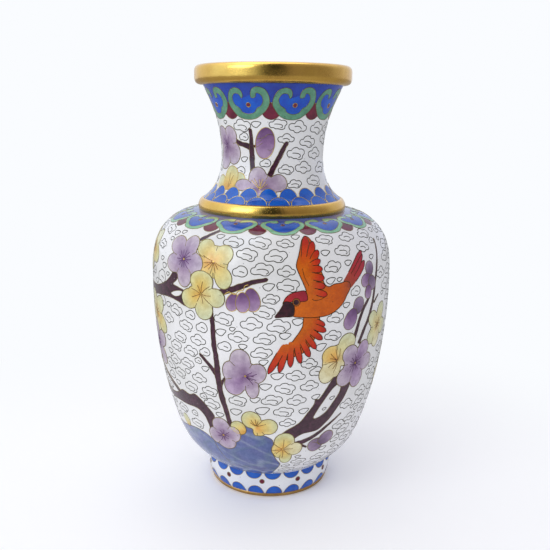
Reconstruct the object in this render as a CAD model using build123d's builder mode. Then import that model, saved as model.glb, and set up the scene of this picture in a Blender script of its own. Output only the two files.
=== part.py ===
from build123d import *
import math
import os

os.makedirs("parts", exist_ok=True)

# ---------------------------------------------------------------- driving dimensions (mm)
HEIGHT = 203.0          # overall height, foot to mouth
ENAMEL = 1.0            # thickness of the outer enamel
COPPER = 0.8            # thickness of the copper walls
LINING = 0.5            # thickness of the counter-enamel inside
WIRE = 0.32             # width of a cloison wire
WIRE_PROUD = 0.12       # height that the cloud wires stand above the white enamel

RIM_R = 36.5            # outside of the mouth rim
RIM_Z = 194.5           # underside of the mouth rim
MOUTH_R = 30.0          # bore through the mouth rim
RIM_TENON_Z = 197.5     # how far the neck copper goes up into the rim
COLLAR_R = 34.45        # outside of the collar
COLLAR_TOP_Z = 142.13   # where the neck enamel starts
COLLAR_SEAT_R = 33.6    # body shell's top opening
COLLAR_FOOT_Z = 135.6   # lower end of the collar's spigot
FOOT_TOP_Z = 13.4       # joint between the body and the foot ring
FOOT_RIM_R = 29.0       # outside of the foot rim
FOOT_RIM_IN_R = 26.6    # inside of the foot rim
FOOT_RIM_Z = 1.3        # top of the foot rim
BASE_T = 1.0            # thickness of the base plate
BODY_SPLIT_Z = 76.0     # soldered seam between the two halves of the body

NECK_BORDER_Z = 184.2   # lower edge of the blue band under the mouth
NECK_SCALE_Z = 151.0    # upper edge of the scale band above the collar
SHOULDER_BORDER_Z = 134.2  # lower edge of the blue band round the shoulder

# outer enamel surface, (radius, height), bottom to top
BODY = [(31.3, 13.4), (37.18, 18.84), (42.22, 25.04), (45.61, 32.29), (48.13, 39.9), (50.33, 47.6),
        (52.21, 55.39), (53.77, 63.25), (55.03, 71.16), (56.01, 79.11), (56.74, 87.09), (57.2, 95.09),
        (57.38, 103.1), (57.26, 111.11), (56.39, 119.07), (53.56, 126.52), (48.26, 132.47), (41.26, 136.31),
        (33.6, 138.65)]
NECK = [(32.72, 142.13), (27.3, 148.06), (24.53, 155.63), (23.92, 163.69), (24.67, 171.75), (26.38, 179.66),
        (29.14, 187.26), (32.75, 194.5)]
FOOT = [(28.9, 1.3), (30.0, 3.23), (30.7, 5.35), (31.2, 9.77), (30.93, 13.4)]

# where the repeated border motifs stand, degrees round the axis from the front
NECK_HEADS = [-63.5, -22.3, 19.5, 61.5, 100.7, 139.9, 179.1, 218.2, 257.4]
SHOULDER_HEADS = [-47.3, -21.0, 6.3, 32.3, 57.6] + [57.6 + 25.51 * k for k in range(1, 10)]
FOOT_LOBES = 21
FOOT_LOBE_START = 4.8
FOOT_DOTS = 11
FOOT_DOT_START = -6.2
SCALES = 20

# ruyi head: a band that curls in at both ends, half of it, (across, along), centre of the band upwards
HEAD_HALF = [(0.0, -8.2), (3.6, -7.6), (6.6, -5.9), (9.0, -2.6), (9.9, 1.2), (9.0, 4.6), (6.4, 6.5), (3.7, 6.0),
             (2.1, 3.6), (2.6, 1.9), (3.9, 2.5), (4.9, 3.9), (6.5, 3.1), (7.2, 0.9), (6.4, -1.9), (4.2, -3.6),
             (2.4, -5.0), (0.0, -5.4)]
DROP = [(0.0, 4.2), (1.3, 1.9), (2.9, 0.3), (3.6, -0.9), (2.2, -2.8), (0.0, -3.4), (-2.2, -2.8), (-3.6, -0.9),
        (-2.9, 0.3), (-1.3, 1.9)]

# plum blossoms, (degrees, height, radius, turn)
LILAC = [(-43.0, 120.4, 6.9, 10), (-10.8, 72.5, 7.2, 40), (-25.5, 39.3, 6.0, 0), (44.4, 72.2, 6.0, 20),
         (150.0, 118.0, 6.8, 15), (196.0, 66.0, 7.2, 30), (118.0, 56.0, 6.4, 50), (232.0, 104.0, 6.6, 5)]
YELLOW = [(-26.6, 121.5, 6.0, 30), (-30.8, 107.4, 6.3, 0), (8.7, 35.6, 5.6, 12), (29.2, 78.7, 5.4, 5),
          (-4.2, 48.6, 3.9, 25),
          (164.5, 112.0, 6.0, 40), (182.0, 60.0, 5.8, 20), (128.0, 66.0, 5.6, 0), (214.0, 98.0, 6.0, 33)]
BUDS = [(-11.9, 105.9, 3.4, 0), (48.8, 110.7, 3.2, 20), (38.7, 97.0, 3.0, 10), (29.5, 34.4, 3.2, 30),
        (172.0, 92.0, 3.2, 0), (104.0, 74.0, 3.0, 40), (205.0, 82.0, 3.0, 15)]
# branches: centre line as (degrees, height) with a half width at each point
BRANCHES = [
    [(-62.0, 111.0, 1.6), (-40.0, 104.5, 1.9), (-24.0, 107.0, 1.5), (-4.5, 112.5, 0.6)],
    [(-25.0, 98.0, 0.9), (-20.5, 84.0, 1.2), (-19.0, 66.0, 1.3), (-16.0, 51.5, 1.2)],
    [(-58.0, 80.0, 1.8), (-45.5, 62.0, 2.2), (-34.0, 56.5, 2.0), (-25.0, 48.0, 1.2)],
    [(13.5, 44.0, 1.2), (20.5, 52.0, 1.6), (26.5, 62.0, 1.4), (29.5, 68.5, 0.8)],
    [(38.5, 90.0, 0.7), (44.5, 104.0, 1.0), (51.5, 120.0, 1.3)],
    [(140.0, 96.0, 1.2), (158.0, 100.5, 1.9), (176.0, 104.0, 1.6), (200.0, 108.0, 0.7)],
    [(190.0, 34.0, 1.8), (186.5, 45.0, 1.6), (188.0, 74.0, 1.2), (194.0, 88.0, 0.8)],
    [(150.0, 32.0, 2.0), (136.0, 44.0, 1.8), (122.0, 68.0, 1.4), (110.0, 84.0, 0.8)],
]
# garden rock at the bottom, outline as (degrees, height)
ROCK = [(-46.0, 47.5), (-34.0, 36.0), (-25.0, 30.5), (-15.0, 41.0), (-9.0, 43.0), (0.5, 37.0), (1.5, 26.0),
        (-1.0, 19.0), (-14.0, 17.6), (-28.0, 19.0), (-38.0, 24.0), (-46.0, 34.0)]
ROCK_BACK = [(146.0, 25.0), (154.0, 36.0), (164.0, 40.0), (174.0, 31.0), (184.0, 28.0), (190.0, 21.0),
             (176.0, 17.6), (158.0, 18.0)]
# flying bird, outlines as (degrees, height)
BIRD_BODY = [(10.2, 101.0), (15.5, 97.0), (21.0, 96.6), (27.5, 103.0), (33.5, 111.5), (31.0, 113.5), (24.0, 108.5),
             (16.5, 106.8), (11.0, 105.5)]
BIRD_HEAD = [(3.0, 99.4), (6.0, 104.6), (9.2, 106.6), (10.4, 103.2), (9.4, 100.4), (6.4, 99.2)]
BIRD_UPPER_WING = [(16.6, 108.0), (14.0, 116.0), (13.2, 124.5), (16.2, 126.5), (19.5, 121.0), (22.0, 114.5),
                   (24.0, 110.0)]
BIRD_LOWER_WING = [(11.5, 95.6), (18.0, 94.8), (15.5, 86.0), (9.0, 79.0), (1.0, 73.5), (-1.0, 75.0), (4.5, 83.5),
                   (8.0, 90.5)]
BIRD_TAIL = [(34.5, 112.8), (41.5, 119.5), (44.0, 122.6), (41.5, 121.9), (38.0, 119.8), (33.0, 115.3)]

# cloud cells: rows of (height, first angle, count in a full turn); cells that meet a motif are left out
CLOUD_ROWS = [(128.6, 2.0, 30), (119.0, 8.0, 30), (101.0, 3.0, 30), (90.0, 8.0, 30), (60.0, 2.0, 28),
              (50.0, 8.0, 27), (29.0, 4.0, 25)]
CLOUD_SIZE = (4.4, 2.7)


# ---------------------------------------------------------------- helpers
def radius_at(table, z):
    """Outer radius of a profile table at height z."""
    for (r0, z0), (r1, z1) in zip(table, table[1:]):
        if z0 <= z <= z1:
            return r0 + (r1 - r0) * (z - z0) / (z1 - z0)
    return table[0][0] if z < table[0][1] else table[-1][0]


def surface_point(table, deg, z):
    """Point on the outer surface; 0 degrees is the front, -Y, and +90 is +X."""
    a, r = math.radians(deg), radius_at(table, z)
    return Vector(r * math.sin(a), -r * math.cos(a), z)


def tangent_plane(table, deg, z):
    """Plane touching the surface: x runs round the vase, y up its wall, z points out."""
    a = math.radians(deg)
    around = Vector(math.cos(a), math.sin(a), 0)
    up = (surface_point(table, deg, z + 0.6) - surface_point(table, deg, z - 0.6)).normalized()
    return Plane(origin=surface_point(table, deg, z), x_dir=around, z_dir=around.cross(up))


def flatten(table, points, plane):
    """Outline given as (degrees, height) seen square on in a tangent plane."""
    out = []
    for deg, z in points:
        p = plane.to_local_coords(surface_point(table, deg, z))
        out.append((p.X, p.Y))
    return out


def grow(points, by):
    """Closed outline moved outwards by a distance, point by point."""
    n = len(points)
    area = sum(points[i][0] * points[(i + 1) % n][1] - points[(i + 1) % n][0] * points[i][1] for i in range(n))
    side = 1.0 if area > 0 else -1.0
    out = []
    for i in range(n):
        ax, ay = points[i - 1]
        bx, by_ = points[(i + 1) % n]
        tx, ty = bx - ax, by_ - ay
        length = math.hypot(tx, ty)
        out.append((points[i][0] + side * by * ty / length, points[i][1] - side * by * tx / length))
    return out


def prism(plane, points, depth=7.0):
    """Straight prism through the wall with the given outline."""
    with BuildPart() as tool:
        with BuildSketch(plane):
            with BuildLine():
                Polyline(*points, close=True)
            make_face()
        extrude(amount=depth, both=True)
    return tool.part


def rounded(points, sharp=()):
    """Outline with each corner cut twice, so that it reads as a curve; corners listed in sharp stay."""
    out = []
    n = len(points)
    for i, (x, y) in enumerate(points):
        if i in sharp:
            out.append((x, y))
            continue
        x0, y0 = points[i - 1]
        x1, y1 = points[(i + 1) % n]
        out.append((x + (x0 - x) * 0.25, y + (y0 - y) * 0.25))
        out.append((x + (x1 - x) * 0.25, y + (y1 - y) * 0.25))
    return out


def common(shell, tool, cuts=()):
    """The part of a shell inside a prism, less any other prisms."""
    with BuildPart() as piece:
        add(tool)
        if cuts:
            add(cuts, mode=Mode.SUBTRACT)
        add(shell, mode=Mode.INTERSECT)
    return piece.part


def offset_normal(table, distance):
    """Profile table moved inwards, square to itself."""
    out = []
    for i, (r, z) in enumerate(table):
        r0, z0 = table[max(i - 1, 0)]
        r1, z1 = table[min(i + 1, len(table) - 1)]
        length = math.hypot(r1 - r0, z1 - z0)
        out.append((r - distance * (z1 - z0) / length, z + distance * (r1 - r0) / length))
    return out


def offset_level(table, distance):
    """Profile table moved inwards along the radius."""
    return [(r - distance, z) for r, z in table]


def shell_between(outer, inner):
    """Solid of revolution between two profile tables."""
    with BuildPart() as shell:
        with BuildSketch(Plane.XZ):
            with BuildLine():
                Spline(*outer)
                Line(outer[-1], inner[-1])
                Spline(*inner)
                Line(inner[0], outer[0])
            make_face()
        revolve(axis=Axis.Z)
    return shell.part


def slab(z0, z1):
    """Thick disc between two heights, wider than the vase."""
    with BuildPart() as disc:
        with BuildSketch(Plane.XY.offset(z0)):
            Circle(radius=80)
        extrude(amount=z1 - z0)
    return disc.part


def band(shell, z0, z1):
    """The part of a shell between two heights."""
    with BuildPart() as piece:
        add(shell)
        add(slab(z0, z1), mode=Mode.INTERSECT)
    return piece.part


def write(part, name):
    part.label = name
    export_step(part, "parts/" + name + ".step")


# ---------------------------------------------------------------- body walls
body_longer = [(2 * BODY[0][0] - BODY[1][0], 2 * BODY[0][1] - BODY[1][1])] + BODY \
    + [(2 * BODY[-1][0] - BODY[-2][0], 2 * BODY[-1][1] - BODY[-2][1])]
body_1 = offset_normal(body_longer, ENAMEL)
body_2 = offset_normal(body_longer, ENAMEL + COPPER)
body_3 = offset_normal(body_longer, ENAMEL + COPPER + LINING)


def trimmed(shell):
    """Body shell cut level at the foot joint and upright at the collar seat."""
    with BuildPart() as piece:
        add(shell)
        add(slab(FOOT_TOP_Z, HEIGHT), mode=Mode.INTERSECT)
        with BuildSketch(Plane.XY.offset(120)):
            Circle(radius=COLLAR_SEAT_R)
        extrude(amount=40, mode=Mode.SUBTRACT)
    return piece.part


body_enamel = trimmed(shell_between(body_longer, body_1))
body_metal = trimmed(shell_between(body_1, body_2))

with BuildPart() as body_lining:
    add(trimmed(shell_between(body_2, body_3)))
    with BuildSketch(Plane.XY.offset(FOOT_TOP_Z)):
        Circle(radius=27.9)
    extrude(amount=LINING)
write(body_lining.part, "body_lining")

write(band(body_metal, FOOT_TOP_Z, BODY_SPLIT_Z), "lower_body_copper")
write(band(body_metal, BODY_SPLIT_Z, HEIGHT), "upper_body_copper")

# ---------------------------------------------------------------- neck walls
neck_1 = offset_level(NECK, ENAMEL)
neck_2 = offset_level(NECK, ENAMEL + COPPER)
neck_3 = offset_level(NECK, ENAMEL + COPPER + LINING)
neck_enamel = shell_between(NECK, neck_1)
write(shell_between(neck_2, neck_3), "neck_lining")

with BuildPart() as neck_copper:
    with BuildSketch(Plane.XZ):
        with BuildLine():
            Polyline((neck_1[0][0], COLLAR_FOOT_Z), neck_1[0])
            Spline(*neck_1)
            Polyline(neck_1[-1], (neck_1[-1][0], RIM_TENON_Z), (neck_2[-1][0], RIM_TENON_Z), neck_2[-1])
            Spline(*neck_2)
            Polyline(neck_2[0], (neck_2[0][0], COLLAR_FOOT_Z), (neck_1[0][0], COLLAR_FOOT_Z))
        make_face()
    revolve(axis=Axis.Z)
write(neck_copper.part, "neck_copper")

# ---------------------------------------------------------------- gilt metal
with BuildPart() as mouth_rim:
    with BuildSketch(Plane.XZ):
        with BuildLine():
            Polyline((MOUTH_R, RIM_Z), (RIM_R - 2.6, RIM_Z))
            Spline((RIM_R - 2.6, RIM_Z), (RIM_R - 0.75, RIM_Z + 0.9), (RIM_R, RIM_Z + 3.0), tangents=[(1, 0), (0, 1)])
            Polyline((RIM_R, RIM_Z + 3.0), (RIM_R, HEIGHT - 2.9))
            Spline((RIM_R, HEIGHT - 2.9), (RIM_R - 0.8, HEIGHT - 0.85), (RIM_R - 2.9, HEIGHT), tangents=[(0, 1), (-1, 0)])
            Polyline((RIM_R - 2.9, HEIGHT), (MOUTH_R + 1.6, HEIGHT))
            Spline((MOUTH_R + 1.6, HEIGHT), (MOUTH_R + 0.47, HEIGHT - 0.47), (MOUTH_R, HEIGHT - 1.6),
                   tangents=[(-1, 0), (0, -1)])
            Polyline((MOUTH_R, HEIGHT - 1.6), (MOUTH_R, RIM_Z))
        make_face()
    revolve(axis=Axis.Z)
    add(neck_copper.part, mode=Mode.SUBTRACT)
write(mouth_rim.part, "mouth_rim")

with BuildPart() as neck_collar:
    with BuildSketch(Plane.XZ):
        with BuildLine():
            Polyline((neck_1[0][0], COLLAR_FOOT_Z), (COLLAR_SEAT_R, COLLAR_FOOT_Z), (COLLAR_SEAT_R, 137.4),
                     (COLLAR_R - 0.35, 137.4))
            Spline((COLLAR_R - 0.35, 137.4), (COLLAR_R, 139.6), (COLLAR_R - 1.3, COLLAR_TOP_Z),
                   tangents=[(0.35, 1), (-1, 0.1)])
            Polyline((COLLAR_R - 1.3, COLLAR_TOP_Z), (neck_1[0][0], COLLAR_TOP_Z), (neck_1[0][0], COLLAR_FOOT_Z))
        make_face()
    revolve(axis=Axis.Z)
    add(body_enamel, mode=Mode.SUBTRACT)
write(neck_collar.part, "neck_collar")

with BuildPart() as foot_rim:
    with BuildSketch(Plane.XZ):
        with BuildLine():
            Polyline((FOOT_RIM_IN_R, 0), (FOOT_RIM_R - 0.5, 0))
            Spline((FOOT_RIM_R - 0.5, 0), (FOOT_RIM_R, FOOT_RIM_Z / 2), (FOOT_RIM_R - 0.1, FOOT_RIM_Z),
                   tangents=[(1, 0.2), (-0.3, 1)])
            Polyline((FOOT_RIM_R - 0.1, FOOT_RIM_Z), (FOOT_RIM_IN_R, FOOT_RIM_Z), (FOOT_RIM_IN_R, 0))
        make_face()
    revolve(axis=Axis.Z)
write(foot_rim.part, "foot_rim")

# ---------------------------------------------------------------- foot
foot_1 = offset_level(FOOT, ENAMEL)
foot_2 = offset_level(FOOT, ENAMEL + COPPER)
foot_enamel = shell_between(FOOT, foot_1)
write(shell_between(foot_1, foot_2), "foot_copper")
base_r = foot_2[-1][0] - 0.02

with BuildPart() as base_plate:
    with BuildSketch(Plane.XY.offset(FOOT_TOP_Z - BASE_T)):
        Circle(radius=base_r)
    extrude(amount=BASE_T)
write(base_plate.part, "base_plate")

with BuildPart() as base_counter_enamel:
    with BuildSketch(Plane.XY.offset(FOOT_TOP_Z - BASE_T - LINING)):
        Circle(radius=base_r - 0.25)
    extrude(amount=LINING)
    fillet(base_counter_enamel.faces().sort_by(Axis.Z)[0].edges(), 0.3)
write(base_counter_enamel.part, "base_counter_enamel")

# ---------------------------------------------------------------- plain bands of enamel
neck_border = band(neck_enamel, NECK_BORDER_Z, RIM_Z)
neck_scales = band(neck_enamel, COLLAR_TOP_Z, NECK_SCALE_Z)
neck_white = band(neck_enamel, NECK_SCALE_Z, NECK_BORDER_Z)
shoulder_border = band(body_enamel, SHOULDER_BORDER_Z, HEIGHT)
body_white = band(body_enamel, FOOT_TOP_Z, SHOULDER_BORDER_Z)

def polar(parts, angles):
    """Copies of the given parts turned about the axis, side by side in one list."""
    out = []
    for one in parts:
        for a in angles:
            out.extend(one.rotate(Axis.Z, a).solids())
    return out


def gather(solids):
    """One group of separate solids that stand clear of each other."""
    return Compound(children=list(solids))


def inlay(shell, table, z, outline, angles, depth=6.0):
    """Cells of one shape, repeated round the vase: (fills, wires, tools), cut from the given shell."""
    plane = tangent_plane(table, 0, z)
    inner = prism(plane, outline, depth)
    outer = prism(plane, grow(outline, WIRE), depth)
    fill = common(shell, inner)
    wire = common(shell, outer, [inner])
    return polar([fill], angles), polar([wire], angles), polar([outer], angles)


def pocketed(shell, tools):
    """A shell with pockets where the cells stand."""
    with BuildPart() as piece:
        add(shell)
        add(tools, mode=Mode.SUBTRACT)
    return piece.part


# ---------------------------------------------------------------- neck border: ruyi heads and drops
head = [(x * 0.98, y) for x, y in HEAD_HALF] + [(-x * 0.98, y) for x, y in HEAD_HALF[-2:0:-1]]
neck_belt = band(neck_enamel, NECK_SCALE_Z + 1, RIM_Z)
neck_head = [(x * 0.92, y * 0.88) for x, y in head]
neck_drop_angles = [(a + b) / 2 for a, b in zip(NECK_HEADS, NECK_HEADS[1:] + [NECK_HEADS[0] + 360])]
neck_drop = [(x * 0.46, y * 0.75) for x, y in DROP]
dot = [(0.85 * math.cos(math.radians(a)), 0.85 * math.sin(math.radians(a))) for a in range(0, 360, 45)]
fills, wires, tools = inlay(neck_belt, NECK, 187.2, neck_head, NECK_HEADS)
drop_fills, drop_wires, drop_tools = inlay(neck_belt, NECK, 180.6, neck_drop, neck_drop_angles)
dot_fills, dot_wires, dot_tools = inlay(neck_belt, NECK, 186.4, dot, NECK_HEADS)
write(gather(fills), "neck_ruyi_enamel")
write(gather(drop_fills + dot_fills), "neck_drop_enamel")
write(gather(wires + drop_wires + dot_wires), "neck_border_wires")
write(pocketed(neck_border, tools + drop_tools + dot_tools), "neck_border_enamel")

# ---------------------------------------------------------------- shoulder border
shoulder_belt = band(body_enamel, 124.0, HEIGHT)
shoulder_head = [(x * 0.86, y * 0.72) for x, y in head]
shoulder_drop_angles = [(a + b) / 2 for a, b in zip(SHOULDER_HEADS, SHOULDER_HEADS[1:] + [SHOULDER_HEADS[0] + 360])]
shoulder_drop = [(x * 0.62, y * 0.72) for x, y in DROP]
s_fills, s_wires, s_tools = inlay(shoulder_belt, BODY, 135.0, shoulder_head, SHOULDER_HEADS, 3.5)
sd_fills, sd_wires, sd_tools = inlay(shoulder_belt, BODY, 131.0, shoulder_drop, shoulder_drop_angles, 3.5)
sdot_fills, sdot_wires, sdot_tools = inlay(shoulder_belt, BODY, 134.9, dot, SHOULDER_HEADS, 3.5)
write(gather(s_fills), "shoulder_ruyi_enamel")
write(gather(sd_fills + sdot_fills), "shoulder_drop_enamel")
write(gather(s_wires + sd_wires + sdot_wires), "shoulder_border_wires")
write(pocketed(shoulder_border, s_tools + sd_tools + sdot_tools), "shoulder_border_enamel")

# ---------------------------------------------------------------- scale band above the collar
arc = []
for k in range(9):
    t = math.radians(180 + 22.5 * k)
    arc.append((3.9 * math.cos(t), 3.3 * math.sin(t)))
outside = [(x * (1 + WIRE / 3.9), y * (1 + WIRE / 3.3)) for x, y in arc]
u_wire = arc + outside[::-1]
upper, lower = [], []
for z, k, start in ((151.0 - 0.9, 0.82, 0.0), (146.2, 1.0, 9.0)):
    plane = tangent_plane(NECK, 0, z)
    tool = prism(plane, [(x * k, y * 0.9) for x, y in u_wire], 5.0)
    one = common(neck_scales, tool)
    angles = [start + 360 / SCALES * i for i in range(SCALES)]
    upper += polar([one], angles)
    lower += polar([tool], angles)
write(gather(upper), "scale_wires")
write(pocketed(neck_scales, lower), "neck_scale_enamel")

# ---------------------------------------------------------------- foot band
half_disc = [(-3.7, -1.3)] + [(3.7 * math.cos(math.radians(a)), -1.3 + 4.2 * math.sin(math.radians(a)))
                              for a in range(160, 19, -20)] + [(3.7, -1.3)]
lobe_angles = [FOOT_LOBE_START + 360 / FOOT_LOBES * i for i in range(FOOT_LOBES)]
f_fills, f_wires, f_tools = inlay(foot_enamel, FOOT, 3.4, half_disc, lobe_angles)
top_disc = [(x * 0.95, -y * 0.8) for x, y in half_disc]
t_fills, t_wires, t_tools = inlay(foot_enamel, FOOT, 12.5, top_disc, [a - 1.5 for a in lobe_angles])
dot_angles = [FOOT_DOT_START + 360 / FOOT_DOTS * i for i in range(FOOT_DOTS)]
fd_fills, fd_wires, fd_tools = inlay(foot_enamel, FOOT, 8.6, [(x * 0.8, y * 0.8) for x, y in dot], dot_angles)
write(gather(f_fills + t_fills), "foot_scallop_enamel")
write(gather(fd_fills), "foot_dot_enamel")
write(gather(f_wires + t_wires + fd_wires), "foot_wires")
write(pocketed(foot_enamel, f_tools + t_tools + fd_tools), "foot_white_enamel")

# ---------------------------------------------------------------- motifs on the body and the neck
taken = []          # (degrees, height, reach, outer prism) of the cells already placed


def near(deg, z, reach, table=BODY):
    """Prisms of earlier cells that a new cell may meet."""
    here = surface_point(table, deg, z)
    return [t for d, h, w, t in taken if (surface_point(table, d, h) - here).length < reach + w]


def cell(shell, table, deg, z, outline, reach, depth=9.0):
    """One enamel cell with the wire round it: (fill, wire). Earlier cells stay in front."""
    plane = tangent_plane(table, deg, z)
    inner = prism(plane, outline, depth)
    outer = prism(plane, grow(outline, WIRE), depth)
    front = near(deg, z, reach, table)
    fill = common(shell, inner, front)
    wire = common(shell, outer, [inner] + front)
    taken.append((deg, z, reach, outer))
    return fill.solids(), wire.solids(), outer


def blossom_outline(radius, turn, lobes=5, dent=0.16):
    pts = []
    for k in range(lobes * 4):
        a = math.radians(turn + 360 / (lobes * 4) * k)
        rho = radius * (1 - dent + dent * abs(math.cos(lobes / 2 * (a - math.radians(turn)))) * 1.6)
        pts.append((rho * math.cos(a), rho * math.sin(a)))
    return pts


def strip_outline(points, table, plane):
    """Outline of a tapering strip along a centre line given as (degrees, height, half width)."""
    centre = flatten(table, [(d, z) for d, z, w in points], plane)
    left, right = [], []
    for i, (x, y) in enumerate(centre):
        x0, y0 = centre[max(i - 1, 0)]
        x1, y1 = centre[min(i + 1, len(centre) - 1)]
        length = math.hypot(x1 - x0, y1 - y0)
        w = points[i][2]
        left.append((x - w * (y1 - y0) / length, y + w * (x1 - x0) / length))
        right.append((x + w * (y1 - y0) / length, y - w * (x1 - x0) / length))
    return left + right[::-1]


body_tools = []
sets = {name: [] for name in ("lilac_petals", "yellow_petals", "plum_buds", "branches", "garden_rock",
                              "bird_feathers", "bird_wing_tips", "bird_head")}
wire_sets = {name: [] for name in ("blossom_wires", "branch_wires", "rock_wires", "bird_wires")}


def place(kind, wires_kind, *args, **kwargs):
    fill, wire, outer = cell(body_white, BODY, *args, **kwargs)
    sets[kind] += fill
    wire_sets[wires_kind] += wire
    body_tools.append(outer)


for outline, kind, centre, reach in (
    (BIRD_HEAD, "bird_head", (7.0, 103.0), 5), (BIRD_BODY, "bird_feathers", (21.0, 104.0), 13),
    (BIRD_UPPER_WING, "bird_feathers", (18.0, 117.0), 11), (BIRD_LOWER_WING, "bird_feathers", (9.0, 85.0), 14),
    (BIRD_TAIL, "bird_wing_tips", (38.5, 118.0), 8),
):
    plane = tangent_plane(BODY, *centre)
    place(kind, "bird_wires", centre[0], centre[1], rounded(flatten(BODY, outline, plane)), reach)
for deg, z, radius, turn in LILAC:
    place("lilac_petals", "blossom_wires", deg, z, blossom_outline(radius, turn), radius)
for deg, z, radius, turn in YELLOW:
    place("yellow_petals", "blossom_wires", deg, z, blossom_outline(radius, turn), radius)
for deg, z, radius, turn in BUDS:
    place("plum_buds", "blossom_wires", deg, z, blossom_outline(radius, turn, 3, 0.12), radius)
for outline, centre in ((ROCK, (-20.0, 31.0)), (ROCK_BACK, (168.0, 27.0))):
    plane = tangent_plane(BODY, *centre)
    place("garden_rock", "rock_wires", centre[0], centre[1], rounded(flatten(BODY, outline, plane)), 28, depth=14.0)
for points in BRANCHES:
    mid = ((points[0][0] + points[-1][0]) / 2, (points[0][1] + points[-1][1]) / 2)
    plane = tangent_plane(BODY, *mid)
    place("branches", "branch_wires", mid[0], mid[1], strip_outline(points, BODY, plane), 30, depth=16.0)

# the neck's own spray of plum
neck_tools = []
taken_body, taken[:] = list(taken), []
for kind, wires_kind, deg, z, outline, reach in (
    ("lilac_petals", "blossom_wires", -57.6, 166.0, blossom_outline(4.4, 0), 5),
    ("lilac_petals", "blossom_wires", -12.5, 156.9, blossom_outline(4.6, 20), 5),
    ("yellow_petals", "blossom_wires", -44.0, 157.0, blossom_outline(3.9, 10), 4),
    ("plum_buds", "blossom_wires", -7.8, 169.0, blossom_outline(3.4, 0, 3), 4),
    ("lilac_petals", "blossom_wires", 140.0, 163.0, blossom_outline(4.6, 0), 5),
    ("yellow_petals", "blossom_wires", 163.0, 157.0, blossom_outline(4.0, 10), 4),
    ("plum_buds", "blossom_wires", 170.0, 172.0, blossom_outline(3.2, 0, 3), 4),
):
    fill, wire, outer = cell(neck_white, NECK, deg, z, outline, reach, depth=5.0)
    sets[kind] += fill
    wire_sets[wires_kind] += wire
    neck_tools.append(outer)
for points in ([(-41.0, 174.0, 0.7), (-30.0, 168.0, 1.2), (-20.0, 159.5, 1.0)],
               [(14.0, 168.0, 0.6), (6.0, 162.0, 0.8), (-1.0, 159.0, 0.8)],
               [(184.0, 172.0, 0.7), (170.0, 164.0, 1.0), (156.0, 168.0, 0.8)]):
    mid = ((points[0][0] + points[-1][0]) / 2, (points[0][1] + points[-1][1]) / 2)
    plane = tangent_plane(NECK, *mid)
    fill, wire, outer = cell(neck_white, NECK, mid[0], mid[1], strip_outline(points, NECK, plane), 9, depth=7.0)
    sets["branches"] += fill
    wire_sets["branch_wires"] += wire
    neck_tools.append(outer)

for name, solids in sets.items():
    write(gather(solids), name)
for name, solids in wire_sets.items():
    write(gather(solids), name)

write(pocketed(body_white, body_tools + s_tools + sd_tools + sdot_tools), "body_white_enamel")
write(pocketed(neck_white, neck_tools + tools + drop_tools), "neck_white_enamel")

# ---------------------------------------------------------------- cloud wires standing on the white enamel
skin = offset_normal(body_longer, -WIRE_PROUD)
proud = shell_between(skin, body_longer)
cloud = []
for k in range(15):
    a = math.radians(24 * k)
    bump = 1 + 0.11 * math.cos(5 * a)
    cloud.append((CLOUD_SIZE[0] * bump * math.cos(a), CLOUD_SIZE[1] * bump * math.sin(a)))
clouds = []
motif_spots = [(surface_point(BODY, d, h), w) for d, h, w, t in taken_body if w < 20]
for points in BRANCHES:
    for (d0, z0, w0), (d1, z1, w1) in zip(points, points[1:]):
        for t in (0.0, 0.25, 0.5, 0.75, 1.0):
            motif_spots.append((surface_point(BODY, d0 + (d1 - d0) * t, z0 + (z1 - z0) * t), 2.2))
for outline in (ROCK, ROCK_BACK):
    for d, z in outline:
        motif_spots.append((surface_point(BODY, d, z), 3.0))
rock_spans = [(-50.0, 4.0, 49.0), (142.0, 194.0, 41.0)]
for z, start, count in CLOUD_ROWS:
    plane = tangent_plane(BODY, 0, z)
    with BuildPart() as ring_maker:
        add(common(proud, prism(plane, grow(cloud, WIRE / 2), 4.0)))
        add(prism(plane, grow(cloud, -WIRE / 2), 4.0), mode=Mode.SUBTRACT)
    ring = ring_maker.part
    for k in range(count):
        deg = start + 360 / count * k
        spot = surface_point(BODY, deg, z)
        in_rock = any(a < (deg + 180) % 360 - 180 < b or a < deg < b for a, b, top in rock_spans if z < top)
        if not in_rock and all((spot - p).length > w + 4.9 for p, w in motif_spots):
            clouds += ring.rotate(Axis.Z, deg).solids()
write(gather(clouds), "cloud_wires")
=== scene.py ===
import math
import random

import bpy
import numpy as np
from mathutils import Matrix, Vector
from mathutils.geometry import delaunay_2d_cdt

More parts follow.
